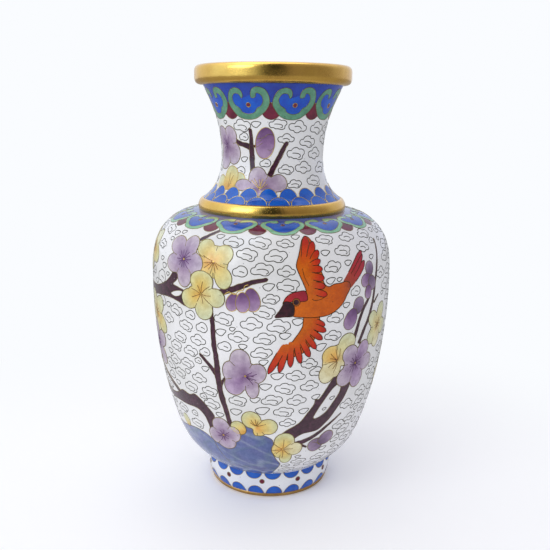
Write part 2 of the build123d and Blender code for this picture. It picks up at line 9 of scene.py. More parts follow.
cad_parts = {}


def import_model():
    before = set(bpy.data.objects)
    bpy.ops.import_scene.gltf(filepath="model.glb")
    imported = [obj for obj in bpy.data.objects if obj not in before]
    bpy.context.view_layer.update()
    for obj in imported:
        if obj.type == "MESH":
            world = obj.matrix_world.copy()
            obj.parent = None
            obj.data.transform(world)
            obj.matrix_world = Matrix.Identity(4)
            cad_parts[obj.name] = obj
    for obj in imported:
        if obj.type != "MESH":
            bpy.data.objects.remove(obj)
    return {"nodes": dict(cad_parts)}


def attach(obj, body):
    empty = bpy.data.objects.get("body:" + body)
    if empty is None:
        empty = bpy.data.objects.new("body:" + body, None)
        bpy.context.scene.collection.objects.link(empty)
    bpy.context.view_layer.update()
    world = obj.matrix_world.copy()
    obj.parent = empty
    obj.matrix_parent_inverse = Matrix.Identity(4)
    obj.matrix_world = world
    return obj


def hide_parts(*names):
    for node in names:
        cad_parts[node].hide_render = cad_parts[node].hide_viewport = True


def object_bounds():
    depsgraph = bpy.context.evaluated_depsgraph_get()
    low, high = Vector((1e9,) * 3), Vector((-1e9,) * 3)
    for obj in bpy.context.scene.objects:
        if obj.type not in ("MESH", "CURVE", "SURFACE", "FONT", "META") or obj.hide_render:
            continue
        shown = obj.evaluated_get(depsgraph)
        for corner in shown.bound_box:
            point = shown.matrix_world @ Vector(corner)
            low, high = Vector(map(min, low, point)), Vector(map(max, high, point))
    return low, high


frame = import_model()
CAD_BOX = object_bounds()
for node in frame["nodes"].values():
    node.data.materials.clear()

MM = (CAD_BOX[1].z - CAD_BOX[0].z) / 203.0      # the vase is 203 mm tall, foot to mouth
FLOOR_Z = CAD_BOX[0].z

# ------------------------------------------------------------------ outer enamel surface, (radius, height) in mm
BODY = [(31.3, 13.4), (34.32, 16.03), (37.18, 18.84), (39.86, 21.81), (42.22, 25.04), (44.1, 28.58), (45.61, 32.29),
        (46.91, 36.08), (48.13, 39.9), (49.27, 43.74), (50.33, 47.6), (51.31, 51.48), (52.21, 55.39), (53.03, 59.31),
        (53.77, 63.25), (54.43, 67.2), (55.03, 71.16), (55.55, 75.13), (56.01, 79.11), (56.4, 83.1), (56.74, 87.09),
        (57.0, 91.09), (57.2, 95.09), (57.33, 99.09), (57.38, 103.1), (57.35, 107.1), (57.26, 111.11), (56.99, 115.11),
        (56.39, 119.07), (55.28, 122.91), (53.56, 126.52), (51.19, 129.74), (48.26, 132.47), (44.89, 134.63),
        (41.26, 135.85), (37.47, 136.45), (33.6, 136.95)]
NECK = [(32.72, 142.13), (29.69, 144.8), (27.3, 148.06), (25.6, 151.73), (24.53, 155.63), (24.0, 159.64),
        (23.92, 163.69), (24.18, 167.73), (24.67, 171.75), (25.39, 175.73), (26.38, 179.66), (27.64, 183.5),
        (29.14, 187.26), (30.85, 190.93), (32.75, 194.51)]
FOOT = [(28.9, 1.3), (30.0, 3.23), (30.7, 5.35), (31.08, 7.54), (31.2, 9.77), (31.09, 11.99), (30.93, 13.4)]


def curve_through(points, step, closed=False):
    """Points about step apart on a smooth curve through the given ones (centripetal Catmull-Rom)."""
    P = np.asarray(points, float)
    n = len(P)
    if n < 3 and not closed:
        k = max(2, int(np.ceil(np.linalg.norm(P[-1] - P[0]) / step)) + 1)
        return P[0] + (P[-1] - P[0]) * np.linspace(0, 1, k)[:, None]
    if closed:
        Q = np.vstack([P[-1], P, P[0], P[1]])
        spans = n
    else:
        Q = np.vstack([2 * P[0] - P[1], P, 2 * P[-1] - P[-2]])
        spans = n - 1
    out = []
    for i in range(spans):
        p0, p1, p2, p3 = Q[i:i + 4]
        t01 = max(np.linalg.norm(p1 - p0), 1e-6) ** 0.5
        t12 = max(np.linalg.norm(p2 - p1), 1e-6) ** 0.5
        t23 = max(np.linalg.norm(p3 - p2), 1e-6) ** 0.5
        m1 = (p2 - p1) + t12 * ((p1 - p0) / t01 - (p2 - p0) / (t01 + t12))
        m2 = (p2 - p1) + t12 * ((p3 - p2) / t23 - (p3 - p1) / (t12 + t23))
        k = max(1, int(round(np.linalg.norm(p2 - p1) / step)))
        t = (np.arange(k) / k)[:, None]
        out.append((2 * t ** 3 - 3 * t ** 2 + 1) * p1 + (t ** 3 - 2 * t ** 2 + t) * m1
                   + (-2 * t ** 3 + 3 * t ** 2) * p2 + (t ** 3 - t ** 2) * m2)
    if not closed:
        out.append(P[-1:])
    return np.vstack(out)


class Wall:
    """A surface of revolution. A point on it is (degrees from the front, mm up the profile, mm above it)."""

    def __init__(self, table):
        self.P = curve_through(table, 0.2)
        d = np.hypot(*np.diff(self.P, axis=0).T)
        self.s = np.r_[0, np.cumsum(d)]
        self.L = float(self.s[-1])
        dr, dz = np.gradient(self.P[:, 0], self.s), np.gradient(self.P[:, 1], self.s)
        ln = np.hypot(dr, dz)
        self.nr, self.nz = dz / ln, -dr / ln

    def radius(self, s):
        return np.interp(s, self.s, self.P[:, 0])

    def s_of(self, z):
        return float(np.interp(z, self.P[:, 1], self.s))

    def place(self, deg, s, h):
        """Row frame, metres."""
        deg, s, h = np.broadcast_arrays(np.asarray(deg, float), np.asarray(s, float), np.asarray(h, float))
        r = np.interp(s, self.s, self.P[:, 0]) + h * np.interp(s, self.s, self.nr)
        z = np.interp(s, self.s, self.P[:, 1]) + h * np.interp(s, self.s, self.nz)
        a = np.radians(deg)
        return np.stack([r * np.sin(a) * MM, -r * np.cos(a) * MM, FLOOR_Z + z * MM], -1)


body, neck, foot = Wall(BODY), Wall(NECK), Wall(FOOT)


# ------------------------------------------------------------------ colours
def lin(r, g, b):
    """Colour given in 0-255 display values, as linear."""
    return tuple(((c / 255) / 12.92 if c / 255 <= 0.04045 else ((c / 255 + 0.055) / 1.055) ** 2.4) for c in (r, g, b))


# ------------------------------------------------------------------ mesh gathering
class Group:
    """Collects closed cells or wires of one kind, then makes one mesh object of them."""

    def __init__(self, name, material, slot):
        self.name, self.material, self.slot = name, material, slot
        self.V, self.F, self.C, self.sharp, self.n = [], [], [], [], 0

    def add(self, verts, faces, colour=None, sharp=()):
        self.V.append(verts)
        self.F.extend([tuple(i + self.n for i in f) for f in faces])
        self.sharp.extend([(a + self.n, b + self.n) for a, b in sharp])
        c = np.ones((len(verts), 4))
        if colour is not None:
            c[:, :3] = colour
        self.C.append(c)
        self.n += len(verts)

    def make(self, *nodes):
        mesh = bpy.data.meshes.new(self.name)
        mesh.from_pydata(np.vstack(self.V).tolist(), [], self.F)
        mesh.update()
        layer = mesh.color_attributes.new("Tone", "FLOAT_COLOR", "POINT")
        layer.data.foreach_set("color", np.vstack(self.C).astype(np.float32).ravel())
        mesh.polygons.foreach_set("use_smooth", [True] * len(mesh.polygons))
        if self.sharp:
            keys = {tuple(sorted(e)) for e in self.sharp}
            flags = [tuple(sorted(e.vertices)) in keys for e in mesh.edges]
            mesh.edges.foreach_set("use_edge_sharp", flags)
        mesh.materials.append(self.material)
        obj = bpy.data.objects.new(self.name, mesh)
        bpy.context.scene.collection.objects.link(obj)
        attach(obj, "root")
        if nodes:
            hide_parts(*nodes)
        return obj


# ------------------------------------------------------------------ materials
def shader(name):
    mat = bpy.data.materials.new(name)
    mat.use_nodes = True
    nt = mat.node_tree
    nt.nodes.clear()
    out = nt.nodes.new("ShaderNodeOutputMaterial")
    bsdf = nt.nodes.new("ShaderNodeBsdfPrincipled")
    nt.links.new(bsdf.outputs[0], out.inputs[0])
    return mat, nt, bsdf


def noise(nt, coord, scale, detail=3.0, rough=0.55):
    n = nt.nodes.new("ShaderNodeTexNoise")
    n.inputs["Scale"].default_value = scale
    n.inputs["Detail"].default_value = detail
    n.inputs["Roughness"].default_value = rough
    nt.links.new(coord, n.inputs["Vector"])
    return n.outputs["Fac"]


def ramp(nt, value, stops, interpolation="LINEAR"):
    r = nt.nodes.new("ShaderNodeValToRGB")
    r.color_ramp.interpolation = interpolation
    e = r.color_ramp.elements
    while len(e) > len(stops):
        e.remove(e[-1])
    while len(e) < len(stops):
        e.new(0.5)
    for slot_, (at, c) in zip(e, stops):
        slot_.position = at
        slot_.color = (*c, 1.0) if hasattr(c, "__len__") else (c, c, c, 1.0)
    nt.links.new(value, r.inputs[0])
    return r.outputs[0]


def mix(nt, fac, a, b, mode="MIX"):
    m = nt.nodes.new("ShaderNodeMix")
    m.data_type = "RGBA"
    m.blend_type = mode
    for v, k in ((fac, 0), (a, 6), (b, 7)):
        if isinstance(v, bpy.types.NodeSocket):
            nt.links.new(v, m.inputs[k])
        elif k == 0:
            m.inputs[0].default_value = v
        else:
            m.inputs[k].default_value = (*v, 1.0)
    return m.outputs[2]


def arith(nt, op, a, b=0.0, clamp=False):
    m = nt.nodes.new("ShaderNodeMath")
    m.operation = op
    m.use_clamp = clamp
    for v, k in ((a, 0), (b, 1)):
        if isinstance(v, bpy.types.NodeSocket):
            nt.links.new(v, m.inputs[k])
        else:
            m.inputs[k].default_value = v
    return m.outputs[0]


def coords(nt):
    return nt.nodes.new("ShaderNodeTexCoord").outputs["Object"]


def enamel(name, colour=None, deep=None, mottle=0.35, cloudy=90.0, pits=0.25, pit_colour=(0.03, 0.03, 0.035),
           roughness=0.12, waves=0.25, tone=False):
    """Polished opaque glass: colour drifts in soft clouds, fine grain, scattered pinholes, a faint ripple in the polish."""
    mat, nt, bsdf = shader(name)
    co = coords(nt)
    big = noise(nt, co, cloudy, 3.0)
    fine = noise(nt, co, 1400.0, 2.0)
    if tone:
        attr = nt.nodes.new("ShaderNodeAttribute")
        attr.attribute_name = "Tone"
        base = attr.outputs["Color"]
        lighter = mix(nt, 1.0, base, (1.12, 1.12, 1.12), "MULTIPLY")
        darker = mix(nt, 1.0, base, deep or (0.78, 0.76, 0.8), "MULTIPLY")
        cloud = ramp(nt, big, [(0.36, 0.0), (0.64, 1.0)])
        base = mix(nt, cloud, darker, lighter)
    else:
        base = mix(nt, ramp(nt, big, [(0.36, 0.0), (0.66, 1.0)]), deep, colour)
    grain = ramp(nt, fine, [(0.3, 1.0 - mottle * 0.30), (0.7, 1.0)])
    base = mix(nt, 1.0, base, grain, "MULTIPLY")
    cell = nt.nodes.new("ShaderNodeTexVoronoi")
    cell.inputs["Scale"].default_value = 420.0
    nt.links.new(co, cell.inputs["Vector"])
    near = ramp(nt, cell.outputs["Distance"], [(0.05, 1.0), (0.14, 0.0)])
    chosen = nt.nodes.new("ShaderNodeSeparateColor")
    nt.links.new(cell.outputs["Color"], chosen.inputs[0])
    few = arith(nt, "LESS_THAN", chosen.outputs[0], pits)
    hole = arith(nt, "MULTIPLY", near, few)
    base = mix(nt, arith(nt, "MULTIPLY", hole, 0.75), base, pit_colour)
    nt.links.new(base, bsdf.inputs["Base Color"])
    rough = ramp(nt, noise(nt, co, 260.0, 3.0), [(0.3, roughness * 0.7), (0.7, roughness * 1.5)])
    nt.links.new(rough, bsdf.inputs["Roughness"])
    ripple = noise(nt, co, 170.0, 2.0)
    height = arith(nt, "SUBTRACT", arith(nt, "MULTIPLY", ripple, waves), arith(nt, "MULTIPLY", hole, 0.6))
    bump = nt.nodes.new("ShaderNodeBump")
    bump.inputs["Strength"].default_value = 0.35
    bump.inputs["Distance"].default_value = 0.00025
    nt.links.new(height, bump.inputs["Height"])
    nt.links.new(bump.outputs[0], bsdf.inputs["Normal"])
    bsdf.inputs["IOR"].default_value = 1.52
    bsdf.inputs["Specular IOR Level"].default_value = 0.40
    bsdf.inputs["Coat Weight"].default_value = 0.10
    bsdf.inputs["Coat Roughness"].default_value = 0.04
    return mat


def metal(name, colour, dark, roughness=0.3, tarnish=0.5, scale=120.0, streak=0.0, bump_amount=0.3):
    """Gilt or bare metal: worn and tarnished in patches, fine polishing lines round the axis, small pits."""
    mat, nt, bsdf = shader(name)
    co = coords(nt)
    patch = ramp(nt, noise(nt, co, scale, 4.0, 0.6), [(0.38, 0.0), (0.72, 1.0)])
    fine = noise(nt, co, 900.0, 3.0)
    base = mix(nt, arith(nt, "MULTIPLY", patch, tarnish), colour, dark)
    speck = ramp(nt, noise(nt, co, 2300.0, 1.0), [(0.70, 0.0), (0.78, 1.0)])
    base = mix(nt, arith(nt, "MULTIPLY", speck, 0.45), base, dark)
    nt.links.new(base, bsdf.inputs["Base Color"])
    bsdf.inputs["Metallic"].default_value = 1.0
    stretch = nt.nodes.new("ShaderNodeMapping")
    stretch.inputs["Scale"].default_value = (0.12, 0.12, 3.0)
    nt.links.new(co, stretch.inputs["Vector"])
    lines = noise(nt, stretch.outputs[0], 1500.0, 2.0)
    r = arith(nt, "ADD", arith(nt, "MULTIPLY", patch, 0.16), arith(nt, "MULTIPLY", fine, 0.10))
    r = arith(nt, "ADD", r, arith(nt, "MULTIPLY", lines, streak))
    r = arith(nt, "ADD", r, roughness - 0.1, True)
    nt.links.new(r, bsdf.inputs["Roughness"])
    bump = nt.nodes.new("ShaderNodeBump")
    bump.inputs["Strength"].default_value = bump_amount
    bump.inputs["Distance"].default_value = 0.00012
    h = arith(nt, "SUBTRACT", arith(nt, "ADD", fine, arith(nt, "MULTIPLY", lines, streak * 3)), speck)
    nt.links.new(h, bump.inputs["Height"])
    nt.links.new(bump.outputs[0], bsdf.inputs["Normal"])
    return mat


WHITE = enamel("enamel_white", lin(242, 242, 245), lin(226, 226, 226), 0.14, 22.0, 0.30, lin(120, 115, 120), 0.13)
FOOT_WHITE = enamel("enamel_white_foot", lin(243, 245, 249), lin(228, 232, 242), 0.12, 60.0, 0.16, lin(120, 115, 120))
COBALT = enamel("enamel_cobalt", lin(42, 74, 178), lin(34, 56, 154), 0.5, 120.0, 0.25, lin(20, 25, 70))
AZURE = enamel("enamel_azure", lin(26, 94, 202), lin(30, 74, 184), 0.4, 180.0, 0.25, lin(20, 30, 90))
SCALE = enamel("enamel_scale_blue", lin(28, 104, 210), lin(26, 82, 184), 0.5, 150.0, 0.30, lin(20, 30, 90))
VIOLET = enamel("enamel_blue_violet", lin(66, 106, 184), lin(62, 88, 168), 0.5, 120.0, 0.25, lin(30, 35, 80))
INNER_BLUE = enamel("enamel_bright_blue", lin(46, 102, 200), lin(46, 82, 178), 0.5, 150.0, 0.3, lin(20, 30, 90))
GREEN = enamel("enamel_green", lin(108, 164, 134), lin(86, 140, 114), 0.6, 260.0, 0.35, lin(30, 50, 40))
PALE_GREEN = enamel("enamel_pale_green", lin(150, 204, 162), lin(124, 184, 144), 0.5, 240.0, 0.35, lin(40, 60, 50))
MAROON = enamel("enamel_maroon", lin(122, 36, 62), lin(96, 24, 48), 0.5, 240.0, 0.3, lin(30, 8, 15))
TONE = enamel("enamel_shaded", None, (0.84, 0.80, 0.86), 0.3, 330.0, 0.22, lin(90, 75, 85), tone=True)
TONE_YELLOW = enamel("enamel_shaded_yellow", None, (0.93, 0.88, 0.78), 0.3, 330.0, 0.22, lin(120, 95, 60), tone=True)
BROWN = enamel("enamel_branch", lin(84, 46, 66), lin(58, 32, 46), 0.7, 420.0, 0.45, lin(150, 130, 140), 0.16)
ROCK_M = enamel("enamel_rock", None, (0.80, 0.84, 0.92), 0.5, 420.0, 0.3, lin(60, 65, 100), tone=True)
ORANGE = enamel("enamel_orange", None, (0.93, 0.86, 0.8), 0.5, 300.0, 0.15, lin(80, 30, 10), tone=True)
TURQUOISE = enamel("counter_enamel_turquoise", lin(78, 160, 178), lin(52, 134, 156), 0.6, 90.0, 0.5, lin(20, 50, 60), 0.2, 0.6)
GILT = metal("gilt", lin(232, 186, 92), lin(168, 114, 46), 0.15, 0.45, 60.0, 0.10)
GILT_WORN = metal("gilt_worn", lin(206, 164, 98), lin(146, 108, 60), 0.36, 0.55, 120.0, 0.08)
COPPER = metal("copper_bare", lin(196, 122, 88), lin(110, 62, 44), 0.4, 0.7, 60.0, 0.06)
WIRE_BRIGHT = metal("wire_gilt", lin(214, 186, 110), lin(140, 118, 66), 0.34, 0.5, 300.0, 0.0, 0.1)
WIRE_GOLD = metal("wire_olive_gilt", lin(150, 130, 84), lin(84, 72, 52), 0.40, 0.6, 300.0, 0.0, 0.1)
WIRE_DARK = metal("wire_dull", lin(84, 80, 64), lin(46, 44, 38), 0.5, 0.7, 300.0, 0.0, 0.1)


# ------------------------------------------------------------------ building blocks on the wall
BOTTOM = -0.28      # how far a cell or wire goes into the ground, mm
STEP = 0.020        # height between layers of cells, mm
SEGMENTS = 320


def layer_height(layer):
    return 0.0 if layer <= 0 else 0.015 + STEP * layer


def revolve(group, profile, sharp_rows=(), segments=SEGMENTS, colour=None):
    """Closed ring from a closed profile of (radius, height) in mm."""
    P = np.asarray(profile, float)
    m = len(P)
    a = 2 * np.pi * np.arange(segments) / segments
    V = np.stack([np.outer(np.sin(a), P[:, 0]) * MM, -np.outer(np.cos(a), P[:, 0]) * MM,
                  FLOOR_Z + np.tile(P[:, 1] * MM, (segments, 1))], -1).reshape(-1, 3)
    F, sharp = [], []
    for i in range(segments):
        j = (i + 1) % segments
        for k in range(m):
            l = (k + 1) % m
            F.append((i * m + k, j * m + k, j * m + l, i * m + l))
    for i in range(segments):
        j = (i + 1) % segments
        for k in sharp_rows:
            sharp.append((i * m + k % m, j * m + k % m))
    area = 0.5 * np.sum(P[:, 0] * np.roll(P[:, 1], -1) - np.roll(P[:, 0], -1) * P[:, 1])
    if area < 0:
        F = [f[::-1] for f in F]
    group.add(V, F, colour, sharp)


def ring_of_wall(group, wall, s0, s1, top, depth, step=0.9, inner_step=3.0):
    """Smooth slab that follows the wall between two places on its profile."""
    n = max(3, int(math.ceil((s1 - s0) / step)) + 1)
    so = np.linspace(s0, s1, n)
    m = max(2, int(math.ceil((s1 - s0) / inner_step)) + 1)
    si = np.linspace(s1, s0, m)

    def rz(s, h):
        return np.stack([np.interp(s, wall.s, wall.P[:, 0]) + h * np.interp(s, wall.s, wall.nr),
                         np.interp(s, wall.s, wall.P[:, 1]) + h * np.interp(s, wall.s, wall.nz)], -1)
    revolve(group, np.vstack([rz(so, top), rz(si, depth)]), (0, n - 1, n, n + m - 1))


def inside(poly, pts):
    """Which of pts are inside the closed outline."""
    x, y = pts[:, 0], pts[:, 1]
    r = np.zeros(len(pts), bool)
    x0, y0 = poly[:, 0], poly[:, 1]
    x1, y1 = np.roll(x0, -1), np.roll(y0, -1)
    for a, b, c, d in zip(x0, y0, x1, y1):
        if b == d:
            continue
        m = ((b > y) != (d > y)) & (x < (c - a) * (y - b) / (d - b) + a)
        r ^= m
    return r


class Cell:
    """An enamel cell laid out on the wall: its outline as (degrees, s) and its layer, kept for clipping wires."""

    def __init__(self, wall, outline, layer, order):
        self.wall, self.outline, self.layer, self.order = wall, outline, layer, order
        self.lo, self.hi = outline.min(0), outline.max(0)


CELLS = []
LINES = []      # wires to draw: (group, wall, points, closed, width, layer, order)


def cell(group, wall, outline, layer, order, colour=None, grid=0.95, wire=None, width=0.30, smooth=True, spacing=0.55,
         closed_wire=True):
    """Closed enamel cell. outline is (degrees, s). colour is a linear colour, or a function of (deg, s) arrays."""
    outline = np.asarray(outline, float)
    c = outline.mean(0)
    R = float(wall.radius(c[1]))
    k = math.radians(1) * R
    flat = np.stack([(outline[:, 0] - c[0]) * k, outline[:, 1] - c[1]], -1)
    flat = curve_through(flat, spacing, True) if smooth else np.vstack(
        [curve_through(flat[[i, (i + 1) % len(flat)]], spacing)[:-1] for i in range(len(flat))])
    lo, hi = flat.min(0), flat.max(0)
    gx, gy = np.arange(lo[0] + grid * 0.5, hi[0], grid), np.arange(lo[1] + grid * 0.5, hi[1], grid * 0.87)
    pts = np.array([(x + (0.5 * grid if j % 2 else 0), y) for j, y in enumerate(gy) for x in gx]).reshape(-1, 2)
    if len(pts):
        pts = pts[inside(flat, pts)]
    if len(pts):
        d = np.sqrt(((pts[:, None, :] - flat[None, :, :]) ** 2).sum(-1)).min(1)
        pts = pts[d > grid * 0.42]
    allp = np.vstack([flat, pts]) if len(pts) else flat
    res = delaunay_2d_cdt([Vector(p) for p in allp], [], [list(range(len(flat)))], 1, 1e-5)
    P = np.array([(v.x, v.y) for v in res[0]], float)
    T = [tuple(f) for f in res[2]]
    fixed = []
    for f in T:
        a, b, d = P[f[0]], P[f[1]], P[f[2]]
        z = (b[0] - a[0]) * (d[1] - a[1]) - (b[1] - a[1]) * (d[0] - a[0])
        fixed.append(f if z > 0 else f[::-1])
    T = fixed
    if not T:
        return
    used = sorted({i for f in T for i in f})
    remap = {v: i for i, v in enumerate(used)}
    P, T = P[used], [tuple(remap[i] for i in f) for f in T]
    count = {}
    for f in T:
        for i in range(len(f)):
            e = (f[i], f[(i + 1) % len(f)])
            count[e] = 1
    rim = [e for e in count if (e[1], e[0]) not in count]
    n = len(P)
    deg, s = c[0] + P[:, 0] / k, c[1] + P[:, 1]
    h = layer_height(layer)
    V = np.vstack([wall.place(deg, s, h), wall.place(deg, s, BOTTOM)])
    F = list(T) + [tuple(i + n for i in f[::-1]) for f in T] + [(b, a, a + n, b + n) for a, b in rim]
    col = None
    if colour is not None:
        col = np.asarray(colour(deg, s) if callable(colour) else np.tile(colour, (n, 1)), float)
        col = np.vstack([col, col])
    group.add(V, F, col, rim)
    ring = np.stack([c[0] + flat[:, 0] / k, c[1] + flat[:, 1]], -1)
    CELLS.append(Cell(wall, ring, layer, order))
    if wire is not None:
        LINES.append((wire, wall, ring, closed_wire, width, layer, order))


def line(wire, wall, points, layer, order, width=0.26, step=0.5, closed=False):
    """A wire through (degrees, s) points."""
    P = np.asarray(points, float)
    c = P.mean(0)
    k = math.radians(1) * float(wall.radius(c[1]))
    flat = np.stack([(P[:, 0] - c[0]) * k, P[:, 1] - c[1]], -1)
    flat = curve_through(flat, step, closed)
    LINES.append((wire, wall, np.stack([c[0] + flat[:, 0] / k, c[1] + flat[:, 1]], -1), closed, width, layer, order))


def ribbon(group, wall, pts, closed, width, layer, proud=0.055):
    """Wire of rounded section standing on edge in the wall, along (degrees, s) points."""
    n = len(pts)
    if n < (3 if closed else 2):
        return
    r = wall.radius(pts[:, 1])
    k = np.radians(1) * r
    if closed:
        t = np.roll(pts, -1, 0) - np.roll(pts, 1, 0)
    else:
        t = np.gradient(pts, axis=0)
    t = np.stack([t[:, 0] * k, t[:, 1]], -1)
    t /= np.maximum(np.linalg.norm(t, axis=1), 1e-9)[:, None]
    nx, ny = -t[:, 1] / k, t[:, 0]
    w = np.broadcast_to(np.asarray(width, float), (n,)) / 2
    top = layer_height(layer) + proud
    rows = []
    for off, h in ((-1.0, BOTTOM), (-0.86, top - 0.035), (0.0, top), (0.86, top - 0.035), (1.0, BOTTOM)):
        rows.append(wall.place(pts[:, 0] + nx * w * off, pts[:, 1] + ny * w * off, h))
    V = np.stack(rows, 1).reshape(-1, 3)
    F = []
    last = n if closed else n - 1
    for i in range(last):
        j = (i + 1) % n
        for q in range(5):
            p = (q + 1) % 5
            F.append((i * 5 + q, i * 5 + p, j * 5 + p, j * 5 + q))
    if not closed:
        F.append((4, 3, 2, 1, 0))
        F.append(tuple((n - 1) * 5 + q for q in range(5)))
    group.add(V, F)


def draw_wires():
    """Cuts each wire where a cell of a later order covers it, then builds what is left."""
    for group, wall, pts, closed, width, layer, order in LINES:
        lo, hi = pts.min(0), pts.max(0)
        hidden = np.zeros(len(pts), bool)
        for c in CELLS:
            if c.wall is not wall or c.order <= order or c.lo[1] >= hi[1] or c.hi[1] <= lo[1]:
                continue
            for turn in (-360.0, 0.0, 360.0):
                if c.lo[0] + turn < hi[0] and c.hi[0] + turn > lo[0]:
                    hidden |= inside(c.outline, pts - np.array([turn, 0.0]))
        if not hidden.any():
            ribbon(group, wall, pts, closed, width, layer)
            continue
        if hidden.all():
            continue
        if closed:
            start = int(np.argmax(hidden))
            pts, hidden = np.roll(pts, -start, 0), np.roll(hidden, -start)
        run = []
        for p, gone in zip(pts, hidden):
            if gone:
                if run:
                    run.append(p)
                    if len(run) > 2:
                        ribbon(group, wall, np.array(run), False, width, layer)
                run = [p]
            else:
                run.append(p)
        if len(run) > 2:
            if closed:
                run.append(pts[0])
            ribbon(group, wall, np.array(run), False, width, layer)


# ------------------------------------------------------------------ plain grounds
white_body = Group("body_white_ground", WHITE, "white_enamel")
ring_of_wall(white_body, body, 0.0, 137.0, 0.0, -0.9)
white_neck = Group("neck_white_ground", WHITE, "white_enamel")
ring_of_wall(white_neck, neck, 4.0, 52.0, 0.0, -0.9)
white_foot = Group("foot_white_ground", FOOT_WHITE, "white_enamel")
ring_of_wall(white_foot, foot, 0.0, foot.L, 0.0, -0.9)

neck_blue = Group("neck_border_ground", COBALT, "cobalt_enamel")
ring_of_wall(neck_blue, neck, 47.6, neck.L, layer_height(1), -0.9)
shoulder_blue = Group("shoulder_border_ground", VIOLET, "shoulder_enamel")
ring_of_wall(shoulder_blue, body, 134.2, body.L, layer_height(1), -0.9)
neck_inner = Group("neck_ruyi_centres", AZURE, "cobalt_enamel")
shoulder_inner = Group("shoulder_ruyi_centres", INNER_BLUE, "shoulder_enamel")
green = Group("neck_ruyi_scrolls", GREEN, "green_enamel")
pale_green = Group("shoulder_ruyi_scrolls", PALE_GREEN, "pale_green_enamel")
neck_drops = Group("neck_drops", MAROON, "maroon_enamel")
shoulder_drops = Group("shoulder_drops", MAROON, "maroon_enamel")
border_wires = Group("border_wires", WIRE_GOLD, "wire")
scale_wires = Group("scale_wire_arcs", WIRE_BRIGHT, "wire")
scales = Group("neck_scales", SCALE, "scale_enamel")
scallops = Group("foot_scallops", SCALE, "scale_enamel")
foot_dots = Group("foot_dots", MAROON, "maroon_enamel")
foot_wires = Group("foot_wire_arcs", WIRE_GOLD, "wire")

NECK_HEADS = [-63.5, -22.3, 19.5, 61.5, 100.7, 139.9, 179.1, 218.2, 257.4]
SHOULDER_HEADS = [-47.3, -21.0, 6.3, 32.3, 57.6] + [57.6 + 25.51 * k for k in range(1, 10)]
NECK_HEAD = [(-1.9, 2.6), (-2.5, 5.3), (-4.8, 6.4), (-7.6, 5.3), (-9.7, 2.1), (-10.3, -1.4), (-8.8, -4.2), (-7.0, -6.3),
             (-4.4, -7.7), (-0.3, -8.2), (3.4, -7.6), (6.2, -5.9), (8.4, -4.0), (10.1, -0.7), (9.7, 3.0), (8.0, 5.8),
             (5.2, 6.8), (2.8, 5.8), (1.8, 3.4), (2.0, 1.7), (3.9, 2.1), (4.4, 3.9), (6.3, 3.1), (7.2, 0.6), (6.0, -2.0),
             (4.2, -3.0), (2.9, -4.8), (-0.1, -5.7), (-3.5, -4.8), (-4.5, -3.2), (-6.8, -1.6), (-7.6, 1.2), (-5.9, 3.6),
             (-3.8, 3.4), (-2.7, 1.5)]
NECK_DROP = [(-0.2, 4.4), (0.8, 2.5), (2.5, 0.8), (3.8, -0.7), (2.5, -2.6), (-0.1, -3.4), (-2.7, -2.5), (-3.9, -0.6),
             (-2.2, 1.4)]
SHOULDER_HEAD = [(-2.4, 5.6), (-5.7, 5.2), (-8.8, 3.2), (-9.9, 0.3), (-8.6, -2.0), (-6.4, -3.4), (-4.7, -5.4),
                 (-0.3, -6.4), (4.2, -5.6), (6.4, -3.7), (8.5, -2.3), (10.0, 0.9), (8.4, 4.3), (5.2, 5.6), (2.4, 5.2),
                 (1.2, 3.2), (1.7, 1.6), (3.7, 2.1), (5.8, 3.2), (7.8, 1.9), (7.7, -0.2), (6.0, -1.9), (3.9, -3.6),
                 (0.0, -5.0), (-3.8, -3.7), (-5.6, -1.8), (-7.4, -0.2), (-7.6, 1.5), (-5.9, 3.0), (-3.6, 2.2),
                 (-2.0, 2.4)]
SHOULDER_DROP = [(-0.1, 4.2), (2.0, 1.6), (3.8, -0.1), (2.4, -2.0), (0.1, -2.8), (-2.4, -2.1), (-3.8, -0.3), (-2.1, 1.6)]


def on_wall(wall, deg, s, shape, sx=1.0, sy=1.0):
    k = math.degrees(1) / float(wall.radius(s))
    return [(deg + x * sx * k, s + y * sy) for x, y in shape]


def round_outline(radius, n=14, ry=None):
    return [(radius * math.cos(2 * math.pi * i / n), (ry or radius) * math.sin(2 * math.pi * i / n)) for i in range(n)]


def gaps(heads):
    return [(a + b) / 2 for a, b in zip(heads, heads[1:] + [heads[0] + 360])]


for deg in gaps(NECK_HEADS):
    cell(neck_drops, neck, on_wall(neck, deg, 43.3, NECK_DROP), 2, 20, wire=border_wires, width=0.26)
for i, deg in enumerate(NECK_HEADS):
    head = on_wall(neck, deg, 48.0, NECK_HEAD, 0.97)
    cell(neck_inner, neck, head[:19] + [head[34]], 3, 21, spacing=0.8)
    cell(green, neck, head, 4, 22, wire=border_wires, width=0.26, grid=0.8, spacing=0.5)
    cell(neck_drops, neck, on_wall(neck, deg + 0.3, 46.4, round_outline(1.0)), 5, 23, wire=scale_wires, width=0.34,
         spacing=0.3)
for deg in gaps(SHOULDER_HEADS):
    cell(shoulder_drops, body, on_wall(body, deg, 130.2, SHOULDER_DROP), 2, 20, wire=border_wires, width=0.26)
for deg in SHOULDER_HEADS:
    head = on_wall(body, deg, 133.85, SHOULDER_HEAD, 0.97)
    cell(shoulder_inner, body, head[:17] + [head[30]], 3, 21, spacing=0.8)
    cell(pale_green, body, head, 4, 22, wire=border_wires, width=0.26, grid=0.8, spacing=0.5)
    cell(shoulder_drops, body, on_wall(body, deg, 134.2, round_outline(0.85)), 5, 23, wire=border_wires, width=0.24,
         spacing=0.3)

# scales above the collar: the lower row stands in front of the upper one
SCALE_COUNT = 20
ring_of_wall(scales, neck, 0.0, 3.8, layer_height(1), -0.9)


